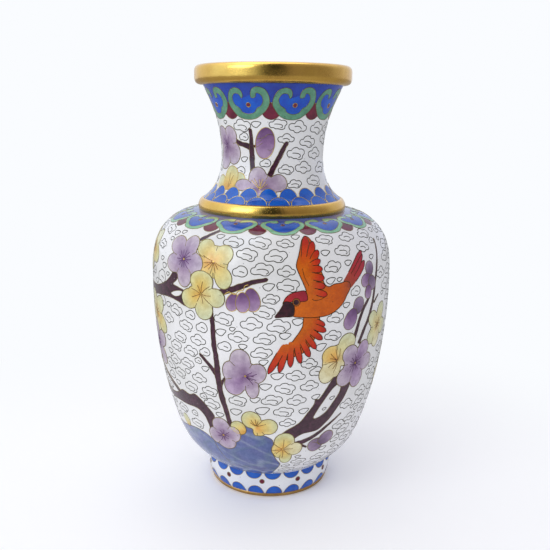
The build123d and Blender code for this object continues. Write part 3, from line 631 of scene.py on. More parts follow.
def arch(half, height, base, n=13):
    top = [(half * math.cos(math.pi * i / (n - 1)), height * math.sin(math.pi * i / (n - 1))) for i in range(n)]
    return top + [(-half, -base), (half, -base)]


for i in range(SCALE_COUNT):
    a = -3.2 + 18.0 * i
    cell(scales, neck, on_wall(neck, a, 4.6, arch(4.25, 4.7, 2.2)), 6, 90, smooth=False, wire=scale_wires, width=0.34,
         closed_wire=False)
for i in range(SCALE_COUNT):
    a = 5.8 + 18.0 * i
    cell(scales, neck, on_wall(neck, a, 0.6, arch(4.6, 4.4, 0.6)), 7, 91, smooth=False, wire=scale_wires, width=0.34,
         closed_wire=False)

# foot: blue half discs along both edges, small dark dots between
for i in range(21):
    a = 4.8 + 360 / 21 * i
    cell(scallops, foot, on_wall(foot, a, 0.35, arch(3.85, 5.3, 0.3)), 1, 10, smooth=False, wire=foot_wires, width=0.30)
    cell(scallops, foot, [(x, 13.1 - (y - 13.1)) for x, y in on_wall(foot, a - 1.5, 13.1, arch(4.1, 3.7, 0.2))], 1, 10,
         smooth=False, wire=foot_wires, width=0.30)
for i in range(11):
    cell(foot_dots, foot, on_wall(foot, -6.2 + 360 / 11 * i, 8.2, round_outline(1.15)), 1, 10, wire=foot_wires,
         width=0.32, spacing=0.35)

# ------------------------------------------------------------------ plum branches, blossoms, rock, bird
motif_wires = Group("motif_wires", WIRE_GOLD, "wire")
stamen_wires = Group("stamen_wires", metal("wire_bronze", lin(150, 110, 66), lin(104, 70, 44), 0.4, 0.6, 300.0, 0.0, 0.1), "wire")
dark_stamens = Group("stamen_wires_dark", metal("wire_violet_brown", lin(112, 70, 116), lin(76, 44, 84), 0.45, 0.6, 300.0, 0.0, 0.1), "wire")
lilac = Group("lilac_petal_cells", TONE, "lilac_enamel")
yellow = Group("yellow_petal_cells", TONE_YELLOW, "yellow_enamel")
buds = Group("plum_bud_cells", TONE, "bud_enamel")
branches = Group("branch_cells", BROWN, "brown_enamel")
rock = Group("garden_rock_cell", ROCK_M, "slate_enamel")
hearts = Group("blossom_hearts", metal("wire_heart", lin(216, 180, 96), lin(140, 104, 50), 0.34, 0.5, 300.0, 0.0, 0.1), "wire")

LILAC_C = (lin(116, 80, 124), lin(171, 150, 176), lin(198, 186, 199))
LILAC_D = (lin(116, 78, 128), lin(162, 134, 172), lin(190, 170, 196))
YELLOW_C = (lin(222, 164, 70), lin(222, 200, 120), lin(210, 214, 170))
YELLOW_P = (lin(216, 184, 110), lin(218, 212, 158), lin(208, 216, 184))
ORANGE_C = (lin(214, 142, 74), lin(228, 182, 96), lin(228, 205, 132))
BEIGE_C = (lin(212, 184, 124), lin(222, 212, 166), lin(226, 222, 188))
BUD_C = (lin(106, 70, 118), lin(140, 106, 150), lin(176, 150, 182))
BUD_D = (lin(104, 82, 112), lin(132, 110, 140), lin(156, 136, 162))
PALETTE = {"l": LILAC_C, "d": LILAC_D, "y": YELLOW_C, "p": YELLOW_P, "o": ORANGE_C, "b": BEIGE_C, "v": BUD_C, "w": BUD_D}


def shade(stops, t):
    a, b, c = (np.array(x) for x in stops)
    t = np.clip(t, 0, 1)[:, None]
    return np.where(t < 0.5, a + (b - a) * (t / 0.5), b + (c - b) * ((t - 0.5) / 0.5))


def petal(group, wall, deg, s, long_, wide, turn, layer, order, tones, wire=None, width=0.26, fat=0.12):
    """One rounded petal: half length, half width, and the direction it points, degrees from +x towards up."""
    k = math.degrees(1) / float(wall.radius(s))
    ca, sa = math.cos(math.radians(turn)), math.sin(math.radians(turn))
    out = []
    for i in range(16):
        t = 2 * math.pi * i / 16
        x = long_ * math.cos(t)
        y = wide * math.sin(t) * (1 + fat * math.cos(t))
        out.append((deg + (x * ca - y * sa) * k, s + x * sa + y * ca))

    def colour(d, v):
        x = (d - deg) / k
        y = v - s
        along = (x * ca + y * sa) / long_
        across = (-x * sa + y * ca) / wide
        return shade(tones, 0.5 + 0.55 * along + 0.12 * across ** 2)
    cell(group, wall, out, layer, order, colour, wire=wire or motif_wires, width=width)


def stamens(wall, deg, s, reach, count, layer, order, wire, start=0.0, spread=360.0, heart=0.55):
    k = math.degrees(1) / float(wall.radius(s))
    rng = random.Random(int(abs(deg * 10) + abs(s * 7)))
    for i in range(count):
        a = math.radians(start + spread * (i + 0.5 * (spread < 360)) / count + rng.uniform(-5, 5))
        R = reach * rng.uniform(0.78, 1.22)
        mid = a + rng.uniform(-0.12, 0.12)
        line(wire, wall, [(deg + 0.5 * math.cos(a) * k, s + 0.5 * math.sin(a)),
                          (deg + R * 0.55 * math.cos(mid) * k, s + R * 0.55 * math.sin(mid)),
                          (deg + R * math.cos(a) * k, s + R * math.sin(a))], layer, order, 0.33, 0.4)
    if heart:
        cell(hearts, wall, on_wall(wall, deg, s, round_outline(heart, 10)), layer + 1, order + 1, spacing=0.3)


def tones_of(ch):
    return PALETTE[ch]


def flower(wall, centre, petals, kinds, layer, order, wire, count=10, reach=3.2, heart=0.55, start=0.0, spread=360.0):
    if not count and centre == (0, 0):
        for i, (p, ch) in enumerate(zip(petals, kinds)):
            group = lilac if ch in "ld" else buds if ch in "vw" else yellow
            petal(group, wall, *p, layer + i, order + i, tones_of(ch))
        return
    k = math.degrees(1) / float(wall.radius(centre[1]))
    E = []
    for deg, s, a, b, turn in petals:
        c, q = math.cos(math.radians(turn)), math.sin(math.radians(turn))
        x, y = (deg - centre[0]) / k, s - centre[1]
        E.append((x, y, a, b * 1.04, c, q, math.atan2(y, x), math.hypot(x, y) + a))
    top = max(e[7] for e in E)
    n = 120
    theta = 2 * np.pi * np.arange(n) / n
    apart = np.min([np.abs(np.angle(np.exp(1j * (theta - e[6])))) for e in E], 0)
    notch = top * np.interp(apart, (math.radians(46), math.radians(75)), (0.56, 0.26))
    rad = notch.copy()
    for x, y, a, b, c, q, _, _ in E:
        px, py = (-x * c - y * q) / a, (x * q - y * c) / b
        dx, dy = (np.cos(theta) * c + np.sin(theta) * q) / a, (-np.cos(theta) * q + np.sin(theta) * c) / b
        A, B, C = dx * dx + dy * dy, px * dx + py * dy, px * px + py * py - 1
        disc = B * B - A * C
        t = np.where(disc > 0, (-B + np.sqrt(np.maximum(disc, 0))) / A, 0)
        rad = np.maximum(rad, t)
    soft = rad.copy()
    for _ in range(2):
        soft = (np.roll(soft, 1) + 2 * soft + np.roll(soft, -1)) / 4
    soft = np.minimum(soft, rad * 1.02)
    out = np.stack([centre[0] + soft * np.cos(theta) * k, centre[1] + soft * np.sin(theta)], -1)
    tones = [np.array(tones_of(ch)) for ch in kinds]

    def colour(d, v):
        x, y = (d - centre[0]) / k, v - centre[1]
        rho, th = np.hypot(x, y), np.arctan2(y, x)
        total, acc = np.zeros(len(d)), np.zeros((len(d), 3))
        for e, tn in zip(E, tones):
            gap = np.angle(np.exp(1j * (th - e[6])))
            w = np.exp(-(gap / 0.42) ** 2) + 1e-6
            t = rho / e[7] * 1.05 + 0.10 * (gap / 0.6) ** 2
            acc += w[:, None] * shade(tn, t)
            total += w
        return acc / total[:, None]
    group = lilac if kinds[0] in "ld" else yellow
    cell(group, wall, out, layer, order, colour, wire=motif_wires, width=0.40, smooth=False, spacing=0.6, grid=0.8)
    dips = [i for i in range(n) if soft[i] <= soft[i - 1] and soft[i] < soft[(i + 1) % n] and soft[i] < 0.86 * top]
    for i in dips:
        r, a = soft[i], theta[i]
        if notch[i] < 0.5 * top:
            continue
        line(motif_wires, wall, [(centre[0] + f * r * math.cos(a) * k, centre[1] + f * r * math.sin(a)) for f in (1.0, 0.82, 0.68)],
             layer, order + 1, 0.30, 0.4)
    if count:
        stamens(wall, centre[0], centre[1], reach, count, layer, order + 1, wire, start, spread, heart)


def blossom(wall, deg, s, R, turn, kinds, layer, order, wire, count=10):
    k = math.degrees(1) / float(wall.radius(s))
    ps = []
    for i in range(5):
        a = turn + 72 * i
        x, y = 0.56 * R * math.cos(math.radians(a)), 0.56 * R * math.sin(math.radians(a))
        ps.append((deg + x * k, s + y, 0.46 * R, 0.415 * R, a))
    flower(wall, (deg, s), ps, kinds, layer, order, wire, count, R * 0.42)


# rock at the foot of the branches
def rock_colour(left, right):
    def f(d, v):
        t = np.clip((d - left) / (right - left), 0, 1)[:, None]
        w = np.clip((v - 2) / 30, 0, 1)[:, None]
        a, b, c = np.array(lin(142, 150, 190)), np.array(lin(84, 100, 152)), np.array(lin(108, 106, 158))
        base = a + (b - a) * t
        band = (0.5 + 0.5 * np.sin(d * 0.31 + v * 0.42))[:, None] * (0.35 + 0.4 * w)
        base = base + (c - base) * band * 0.6
        vein = np.sin(0.62 * v + 0.17 * d + 1.9 * np.sin(0.23 * d + 0.31 * v))[:, None]
        base = base + (np.array(lin(170, 180, 192)) - base) * 0.45 * np.clip(vein, 0, 1) ** 5
        moss = np.sin(0.41 * v - 0.30 * d + 1.3 * np.sin(0.5 * v))[:, None]
        return base + (np.array(lin(98, 124, 134)) - base) * 0.40 * np.clip(moss, 0, 1) ** 4
    return f


ROCK = [(-73.2, 25.1), (-58.9, 27.7), (-45.1, 29.7), (-38.8, 28.8), (-33.5, 26.5), (-23.7, 28.2), (-15.0, 32.7),
        (-13.9, 36.0), (-11.9, 38.6), (-8.7, 36.6), (-5.0, 34.1), (-0.8, 32.4), (1.8, 30.4), (2.3, 22.0), (4.5, 17.8),
        (6.9, 14.4), (6.3, 11.2), (3.6, 5.0), (1.6, 1.0), (-6.4, 0.6), (-23.2, 0.6), (-36.0, 0.6), (-49.7, 1.6),
        (-57.8, 4.8), (-66.0, 10.4), (-72.0, 16.7)]
cell(rock, body, ROCK, 1, 30, rock_colour(-75, 5), wire=motif_wires, width=0.34, grid=0.75)
line(motif_wires, body, [(-33.5, 26.5), (-32.0, 21.0), (-29.5, 15.6), (-27.6, 11.0)], 1, 31, 0.26)
ROCK_BACK = [(146, 12.6), (151, 20.5), (155, 27.5), (161, 32.0), (166, 29.0), (172, 22.0), (179, 20.5), (185, 17.0),
             (190, 10.0), (192, 3.5), (184, 0.8), (168, 0.6), (152, 1.0), (146, 4.5)]
cell(rock, body, ROCK_BACK, 1, 30, rock_colour(144, 194), wire=motif_wires, width=0.30, grid=1.3)

# branches as outlines
cell(branches, body, [(-84.0, 95.6), (-65.0, 97.6), (-55.1, 101.1), (-50.6, 104.7), (-47.7, 108.4), (-44.7, 107.5),
                      (-46.0, 103.6), (-48.8, 101.2), (-45.2, 100.4), (-41.2, 99.6), (-37.5, 98.5), (-36.4, 94.7),
                      (-40.1, 92.7), (-45.4, 93.9), (-51.7, 94.5), (-62.4, 93.6), (-84.0, 90.6)], 2, 40,
     wire=motif_wires)
cell(white_body, body, [(-50.4, 96.6), (-46.7, 98.4), (-42.4, 98.8), (-43.6, 97.0), (-47.5, 95.8)], 3, 41, wire=motif_wires, spacing=0.4)
cell(branches, body, [(-92.0, 52.0), (-76.0, 47.4), (-63.8, 45.2), (-56.0, 46.6), (-50.1, 49.6), (-44.3, 48.8), (-40.4, 50.1),
                      (-37.4, 48.8), (-33.0, 45.2), (-29.5, 40.8), (-31.2, 37.2), (-29.6, 31.5), (-33.6, 31.0), (-34.4, 35.1),
                      (-36.4, 40.0), (-40.2, 42.4), (-48.7, 42.3), (-55.9, 42.3), (-63.9, 41.9), (-76.0, 43.4), (-92.0, 48.0)], 2, 40,
     wire=motif_wires)
cell(branches, body, [(5.8, 33.0), (8.2, 35.8), (13.1, 38.6), (15.8, 40.6), (18.7, 44.6), (21.9, 49.3), (22.4, 51.7),
                      (23.8, 51.4), (25.3, 52.9), (27.7, 56.6), (31.4, 62.1), (34.4, 64.0), (35.4, 59.6), (30.7, 55.2),
                      (27.7, 51.2), (24.4, 46.0), (22.6, 41.6), (24.0, 41.2), (29.1, 43.7), (32.9, 48.5), (35.9, 53.3),
                      (36.7, 59.6), (42.2, 58.6), (39.9, 49.8), (36.4, 44.7), (32.5, 39.4), (30.5, 37.6), (26.3, 34.4),
                      (17.8, 33.4), (13.7, 31.2), (9.6, 28.4)], 2, 40, wire=motif_wires)


def branch(wall, centre_line, layer=2, order=40, wire=None):
    """Tapering twig from (degrees, s, half width) points."""
    P = np.asarray(centre_line, float)
    c = P.mean(0)
    k = math.radians(1) * float(wall.radius(c[1]))
    flat = np.stack([(P[:, 0] - c[0]) * k, P[:, 1] - c[1]], -1)
    fine = curve_through(np.column_stack([flat, P[:, 2] * 3]), 1.6)
    xy, w = fine[:, :2], fine[:, 2] / 3
    t = np.gradient(xy, axis=0)
    t /= np.maximum(np.linalg.norm(t, axis=1), 1e-9)[:, None]
    n = np.stack([-t[:, 1], t[:, 0]], -1)
    rng = random.Random(int(abs(P[0, 0] * 10)) + len(P))
    wob = np.array([1 + rng.uniform(-0.12, 0.14) for _ in w])
    left, right = xy + n * (w * wob)[:, None], xy - n * (w * wob[::-1])[:, None]
    tip = xy[-1] + t[-1] * w[-1] * 0.9
    out = np.vstack([left, tip[None], right[::-1]])
    cell(branches, wall, np.stack([c[0] + out[:, 0] / k, c[1] + out[:, 1]], -1), layer, order, wire=wire or motif_wires,
         grid=0.9, spacing=0.5, width=0.24)


branch(body, [(-37.4, 121.8, 0.7), (-32.9, 124.8, 0.75), (-27.4, 128.6, 0.65)])
branch(body, [(-22.1, 101.0, 1.3), (-14.7, 103.9, 1.2), (-10.5, 105.5, 1.05), (-6.7, 106.9, 0.9), (-1.9, 107.9, 0.75)])
branch(body, [(-26.4, 92.0, 0.9), (-25.7, 86.5, 1.0), (-25.5, 77.3, 1.05), (-24.6, 69.9, 1.2), (-24.6, 62.3, 1.35),
              (-23.8, 54.4, 1.35), (-22.2, 46.3, 1.2), (-20.4, 36.5, 1.1)])
branch(body, [(-86.0, 63.0, 0.5), (-76.0, 58.8, 0.7), (-67.8, 55.0, 0.85), (-60.0, 51.2, 1.0), (-52.5, 47.5, 1.2)], 2, 39)
branch(body, [(-24.6, 62.8, 1.1), (-28.8, 67.5, 0.9), (-31.1, 69.6, 0.75), (-33.3, 71.6, 0.6)], 2, 39)
branch(body, [(-24.3, 56.7, 1.0), (-22.8, 59.6, 0.7), (-21.2, 62.3, 0.3)], 2, 39)
branch(body, [(9.0, 26.8, 1.1), (19.7, 28.9, 1.2), (26.9, 32.0, 1.0), (32.0, 35.4, 0.7), (40.1, 40.6, 0.25)])
branch(body, [(13.4, 28.2, 0.9), (17.0, 27.2, 0.7), (21.4, 24.9, 0.4)], 2, 39)
branch(body, [(44.2, 75.4, 0.95), (47.0, 81.2, 0.9), (50.3, 87.0, 0.85), (52.7, 94.3, 0.8), (54.2, 102.9, 0.7),
              (56.4, 111.2, 0.6), (59.8, 121.0, 0.35)])
branch(body, [(40.4, 77.8, 0.9), (44.7, 90.0, 0.8), (49.8, 96.4, 0.6)], 2, 39)
branch(body, [(53.6, 92.6, 0.5), (57.4, 95.6, 0.4)], 2, 39)
branch(neck, [(-19.6, 14.4, 1.05), (-21.1, 17.5, 1.1), (-22.0, 22.8, 1.1), (-22.7, 27.8, 1.0), (-22.6, 31.6, 0.8),
              (-23.2, 35.4, 0.6)])
branch(neck, [(-23.2, 27.4, 1.25), (-30.0, 28.4, 1.1), (-36.2, 29.0, 1.0), (-43.0, 30.4, 0.9)], 2, 39)
branch(neck, [(-23.2, 28.3, 0.8), (-19.5, 28.0, 0.55), (-16.0, 28.4, 0.2)], 2, 39)
branch(neck, [(-5.0, 13.2, 1.1), (1.0, 18.4, 1.05), (8.0, 24.0, 1.0), (14.8, 29.6, 0.85)])

S = body.s_of
# guessed: the back of the vase carries the same growth
branch(body, [(139.0, S(95.0), 1.2), (158.0, S(100.5), 1.8), (176.0, S(104.0), 1.3), (192.0, S(108.5), 0.8), (201.0, S(113.0), 0.35)])
branch(body, [(190.0, S(32.0), 2.0), (186.5, S(45.0), 1.8), (188.0, S(74.0), 1.3), (195.0, S(89.0), 0.6)])
branch(body, [(152.0, S(30.0), 2.2), (136.0, S(44.0), 1.9), (122.0, S(68.0), 1.4), (108.0, S(85.0), 0.5)])
branch(body, [(222.0, S(58.0), 0.5), (206.0, S(52.0), 1.2), (188.0, S(45.0), 1.6)], 2, 39)
branch(body, [(262.0, S(102.0), 1.5), (246.0, S(104.0), 1.1), (236.0, S(101.0), 0.8), (226.0, S(93.0), 0.35)], 2, 39)
branch(body, [(276.5, S(67.0), 2.3), (262.0, S(74.0), 1.6), (250.0, S(80.0), 0.6)], 2, 39)
branch(body, [(92.0, S(30.0), 1.6), (86.0, S(46.0), 1.4), (80.0, S(62.0), 1.1), (77.0, S(74.0), 0.4)], 2, 39)
branch(body, [(86.5, S(46.0), 1.0), (94.0, S(57.0), 0.8), (97.0, S(64.0), 0.35)], 2, 38)
branch(neck, [(150.0, 12.0, 1.2), (158.0, 20.0, 1.1), (162.0, 30.0, 0.7)])
branch(neck, [(158.0, 20.0, 1.0), (172.0, 24.0, 0.9), (186.0, 30.0, 0.5)], 2, 39)
branch(neck, [(214.0, 14.0, 1.1), (206.0, 24.0, 0.9), (200.0, 33.0, 0.4)])

# blossoms at the front
flower(body, (-76, 113.6), [(-84, 119, 4.2, 3.8, 120), (-72.8, 118.6, 4.4, 3.8, 55), (-69.5, 111.0, 4.6, 3.7, -25),
                            (-77.0, 106.6, 4.4, 3.8, -100), (-84.6, 110.8, 4.4, 3.8, 190)], "ppypp", 3, 50, stamen_wires, 10, 3.4)
flower(body, (-68.5, 84.0), [(-72.0, 90.0, 4.6, 3.7, 115), (-63.0, 88.6, 4.7, 3.7, 40), (-61.4, 79.6, 5.0, 3.8, -38),
                             (-68.6, 76.6, 4.7, 3.7, -95), (-76.0, 83.0, 4.6, 3.7, 190)], "ppypp", 3, 50, stamen_wires, 10, 3.4)
flower(body, (-71.5, 68.4), [(-72.6, 75.4, 4.4, 3.8, 95), (-64.4, 71.6, 4.6, 3.9, 22), (-66.4, 62.6, 4.6, 3.9, -50),
                             (-76.0, 62.0, 4.4, 3.8, -125), (-79.2, 70.4, 4.4, 3.8, 170)], "lllll", 6, 54, dark_stamens, 10, 3.4)
flower(body, (-25.8, 114.1), [(-31.1, 119.7, 4.3, 3.8, 0), (-21.2, 117.5, 4.2, 3.9, 0), (-20.5, 107.3, 3.8, 4.3, 0), (-30.2, 112.6, 3.9, 3.8, 0)], "yyyo", 3, 50,
       stamen_wires, 8, 5.0, 0.3, 150, 200)
flower(body, (-42.2, 113.2), [(-48.5, 119.0, 5.2, 4.0, 0), (-39.5, 120.0, 4.2, 4.2, 0), (-35.9, 112.0, 4.8, 4.4, 0), (-41.2, 105.6, 4.1, 4.4, 0),
                              (-48.8, 110.6, 5.2, 4.0, 0)], "lllll", 6, 54, dark_stamens, 14, 4.2, 0.7)
flower(body, (-31.3, 99.5), [(-31.2, 105.1, 6.0, 4.3, 0), (-37.6, 96.6, 4.8, 4.2, 0), (-23.9, 98.6, 4.2, 3.9, 0), (-29.9, 92.9, 4.5, 4.4, 0)], "yypp", 9, 58,
       stamen_wires, 9, 5.0, 0.4)
flower(body, (-11.2, 64.3), [(-13.4, 71.6, 4.5, 5.1, 0), (-18.6, 65.8, 3.2, 4.8, 0), (-5.5, 66.0, 3.7, 4.4, 0), (-16.6, 59.2, 4.6, 4.6, 0),
                             (-8.0, 57.9, 2.9, 4.4, 0)], "llldl", 3, 50, dark_stamens, 6, 4.6, 0.5, -60, 100)
flower(body, (-25.9, 30.8), [(-26.5, 36.0, 4.4, 4.4, 0), (-31.0, 29.8, 3.6, 4.4, 0), (-25.0, 27.1, 5.0, 4.0, 0), (-19.6, 32.4, 3.3, 4.3, 0)], "llll", 3, 50,
       dark_stamens, 9, 3.4, 0.5)
petal(yellow, body, -16.2, 36.6, 3.9, 3.4, 130, 3, 48, YELLOW_C, width=0.38)
flower(body, (-6.7, 38.4), [(-9.3, 41.9, 4.3, 4.4, 0), (-0.6, 38.4, 4.1, 4.1, 0), (-4.9, 36.3, 2.9, 3.0, 0)], "yyo", 3, 50, stamen_wires, 6, 4.0, 0.3, 10, 150)
flower(body, (7.6, 25.0), [(8.2, 29.6, 4.5, 4.9, 0), (14.4, 24.8, 3.6, 3.7, 0), (9.7, 19.6, 2.9, 4.2, 0), (5.2, 25.0, 2.5, 5.2, 0)], "ybyo", 4, 52,
       stamen_wires, 8, 5.0, 0.3)
flower(body, (32.0, 69.4), [(28.3, 72.6, 4.6, 4.2, 0), (26.8, 63.9, 4.0, 4.5, 0), (36.7, 77.3, 4.8, 4.2, 0), (35.4, 71.3, 3.8, 4.7, 0)], "obpb", 3, 50,
       stamen_wires, 8, 5.0, 0.3, 70, 200)
flower(body, (43.4, 66.0), [(39.3, 71.2, 4.6, 4.2, 0), (48.2, 71.8, 4.0, 4.2, 0), (51.6, 65.0, 4.6, 3.9, 0), (46.1, 58.2, 4.3, 4.8, 0),
                            (37.7, 60.4, 4.9, 4.6, 0)], "ldldl", 6, 54, dark_stamens, 14, 4.2, 0.7)
flower(body, (59.0, 81.0), [(54.6, 76.6, 4.2, 3.5, -130), (59.0, 74.6, 4.4, 3.5, -88), (65.0, 79.0, 4.4, 3.6, -10),
                            (61.6, 87.0, 4.4, 3.6, 70), (54.0, 85.0, 4.0, 3.4, 140)], "pbppp", 3, 49, stamen_wires, 10, 3.2)
# loose petals and buds
flower(body, (0, 0), [(-54.5, 31.6, 3.4, 2.6, 100)], "p", 3, 50, stamen_wires, 0)
petal(buds, body, -7.9, 99.1, 5.1, 3.4, -80, 3, 50, BUD_C, wire=hearts, width=0.34)
petal(buds, body, -16.3, 97.6, 4.0, 2.8, -105, 3, 50.2, BUD_C, wire=hearts, width=0.34)
petal(buds, body, -11.9, 97.8, 4.4, 3.0, -88, 4, 51, BUD_C, wire=hearts, width=0.34)
line(hearts, body, [(-20.4, 100.3), (-17.8, 101.9), (-15.4, 101.0), (-13.6, 102.6), (-11.6, 103.2), (-11.0, 104.9), (-9.4, 105.6)], 4, 60, 0.36)
petal(buds, body, 27.5, 25.4, 4.1, 4.0, 215, 3, 50, BUD_D, wire=motif_wires, width=0.36)
petal(buds, body, 33.2, 28.2, 4.3, 3.8, 35, 4, 51, BUD_D, wire=motif_wires, width=0.36)
line(motif_wires, body, [(24.6, 27.4), (27.6, 26.6), (30.2, 25.2)], 4, 52, 0.28)
flower(body, (0, 0), [(49.3, 108.8, 3.4, 2.9, 100), (46.6, 104.2, 3.4, 2.9, 210), (51.1, 102.4, 3.6, 2.9, -60),
                      (48.4, 98.6, 3.2, 2.4, -90)], "wvwv", 3, 50, dark_stamens, 0)
flower(body, (0, 0), [(41.9, 93.4, 4.0, 3.3, 70), (37.6, 88.0, 5.0, 3.6, -115)], "wv", 3, 50, dark_stamens, 0)

# guessed blossoms round the back
blossom(body, 152.0, S(118.0), 9.0, 15, "lllll", 6, 54, dark_stamens)
blossom(body, 165.5, S(109.0), 8.6, 40, "yyyoy", 3, 50, stamen_wires)
blossom(body, 196.0, S(66.0), 9.0, 30, "lldll", 6, 54, dark_stamens)
blossom(body, 181.0, S(60.0), 8.2, 20, "yyypy", 3, 50, stamen_wires)
blossom(body, 117.0, S(56.0), 8.8, 50, "ldlll", 6, 54, dark_stamens)
blossom(body, 129.5, S(65.0), 8.2, 0, "pyyyy", 3, 50, stamen_wires)
blossom(body, 232.5, S(106.0), 8.8, 5, "lllld", 6, 54, dark_stamens)
blossom(body, 217.0, S(99.0), 8.2, 33, "yyoyy", 3, 50, stamen_wires)
blossom(body, 257.0, S(84.0), 8.4, 12, "yypyy", 3, 50, stamen_wires)
blossom(body, 78.0, S(60.0), 8.2, 30, "ppypp", 3, 50, stamen_wires)
blossom(body, 92.0, S(33.0), 8.0, 10, "lldll", 3, 50, dark_stamens)
blossom(body, 160.0, S(33.0), 8.2, 22, "lllll", 3, 50, dark_stamens)
for d, z, t in ((176, 90, 60), (104, 88, 200), (208, 80, 120), (244, 112, 30), (222, 60, 160), (98, 66, 60)):
    flower(body, (0, 0), [(d, S(z), 3.8, 3.1, t), (d + 3.2, S(z) - 3.4, 3.4, 2.9, t - 150)], "vw", 3, 50, dark_stamens, 0)

# neck blossoms
flower(neck, (-57.3, 27.9), [(-50.4, 32.0, 4.1, 4.6, 0), (-46.6, 24.6, 4.2, 4.9, 0), (-63.5, 21.3, 4.4, 4.2, 0), (-66.4, 32.0, 4.4, 4.4, 0)], "llll", 3, 50,
       dark_stamens, 7, 4.2, 0, 60, 220)
petal(buds, neck, -7.8, 29.5, 6.9, 4.3, -96, 3, 50, BUD_C, wire=hearts, width=0.36, fat=0.04)
line(motif_wires, neck, [(-15.6, 31.4), (-10.0, 31.8), (-4.0, 33.4), (1.0, 33.0)], 3, 51, 0.26)
line(motif_wires, neck, [(-16.6, 27.6), (-13.0, 28.8), (-10.4, 29.6)], 3, 51, 0.24)
line(motif_wires, neck, [(-17.0, 29.4), (-13.4, 30.2), (-11.0, 31.0)], 3, 51, 0.24)
line(motif_wires, neck, [(1.6, 27.6), (-2.0, 26.4), (-5.0, 26.6)], 3, 51, 0.24)
petal(yellow, neck, -62.5, 11.0, 3.9, 2.8, 150, 3, 48, YELLOW_P, wire=hearts, width=0.36)
petal(yellow, neck, -37.4, 12.6, 3.9, 3.2, 20, 3, 49, YELLOW_P, wire=hearts, width=0.36)
petal(yellow, neck, -48.2, 13.2, 5.6, 4.4, 84, 4, 50, YELLOW_C, wire=hearts, width=0.36)
line(stamen_wires, neck, [(-48.6, 9.2), (-49.4, 12.6), (-50.4, 15.6)], 4, 51, 0.30)
line(stamen_wires, neck, [(-47.6, 9.0), (-46.4, 12.0), (-44.6, 14.6)], 4, 51, 0.30)
flower(neck, (-11.9, 8.9), [(-15.3, 14.6, 4.4, 4.2, 0), (6.1, 11.8, 4.2, 3.9, 0), (-30.0, 10.5, 4.4, 2.7, 0), (-19.8, 8.2, 3.4, 2.8, 0)], "llld", 4, 54,
       hearts, 6, 5.2, 0.3, 25, 125)
blossom(neck, 152.0, 24.0, 7.0, 20, "lllll", 6, 54, dark_stamens, 8)
blossom(neck, 168.0, 33.0, 5.6, 50, "yyyyy", 3, 50, stamen_wires, 8)
blossom(neck, 206.0, 20.0, 6.6, 5, "yyoyy", 3, 50, stamen_wires, 8)
blossom(neck, 196.0, 33.5, 5.0, 5, "ldlll", 6, 50, dark_stamens, 8)
flower(neck, (0, 0), [(178, 27.5, 3.4, 2.9, 40), (182, 23.8, 3.2, 2.7, -80)], "vw", 3, 50, dark_stamens, 0)

# bird
bird_feathers = Group("bird_feather_cells", ORANGE, "red_enamel")
bird_body_g = Group("bird_body_cells", ORANGE, "orange_enamel")
bird_dark = Group("bird_face_cell", enamel("enamel_bird_face", lin(70, 26, 40), lin(38, 14, 26), 0.5, 400.0, 0.3, lin(20, 10, 15)),
                  "dark_red_enamel")


def fade(a, b, p, q, lo=0.0, hi=1.0):
    """Colour that turns from a to b between two places on the wall."""
    a, b, p, q = (np.array(x, float) for x in (a, b, p, q))
    d = q - p

    def f(deg, s):
        t = ((np.stack([deg, s], -1) - p) @ d) / (d @ d)
        t = np.clip((t - lo) / (hi - lo), 0, 1)[:, None]
        return a + (b - a) * (t * t * (3 - 2 * t))
    return f


RED, CRIMSON, FLAME, AMBER = lin(188, 26, 14), lin(160, 30, 50), lin(200, 84, 0), lin(206, 100, 0)
bird_wires = Group("bird_wires_dark", metal("wire_brown", lin(96, 66, 40), lin(50, 34, 24), 0.45, 0.6, 300.0, 0.0, 0.1), "wire")


def tongue(root, tip, half, layer, order, tones):
    """One feather: a long rounded cell from its root to its tip."""
    r = float(body.radius((root[1] + tip[1]) / 2))
    k = math.radians(1) * r
    dx, dy = (tip[0] - root[0]) * k, tip[1] - root[1]
    length = math.hypot(dx, dy)
    c, q = dx / length, dy / length
    shape = [(0.0, -0.55), (0.0, 0.55), (0.3, 0.95), (0.62, 1.0), (0.88, 0.74), (1.0, 0.0), (0.88, -0.74), (0.62, -1.0), (0.3, -0.95)]
    out = [(root[0] + (u * length * c - w * half * q) / k, root[1] + u * length * q + w * half * c) for u, w in shape]
    line(bird_wires, body, out[2:], layer, order, 0.36, 0.4)

    def colour(d, v):
        t = (((d - root[0]) * k) * c + (v - root[1]) * q) / length
        return shade(tones, t)
    cell(bird_feathers, body, out, layer, order, colour, grid=0.7, spacing=0.4)


def bird_tone(d, v):
    base = np.array(AMBER) + (np.array(FLAME) - np.array(AMBER)) * np.clip((d - 14) / 22, 0, 1)[:, None]
    high = np.clip((v - 113.0) / 9.0, 0, 1)[:, None] * (d < 23)[:, None]
    low = np.clip((84.0 - v) / 9.0, 0, 1)[:, None]
    dull = np.clip((d - 31.0) / 6.0, 0, 1)[:, None]
    base = base + (np.array(RED) - base) * np.maximum(high, low) * 0.40
    return base + (np.array(lin(170, 78, 40)) - base) * dull


FEATHER = (lin(206, 98, 0), lin(200, 60, 4), lin(180, 18, 24))
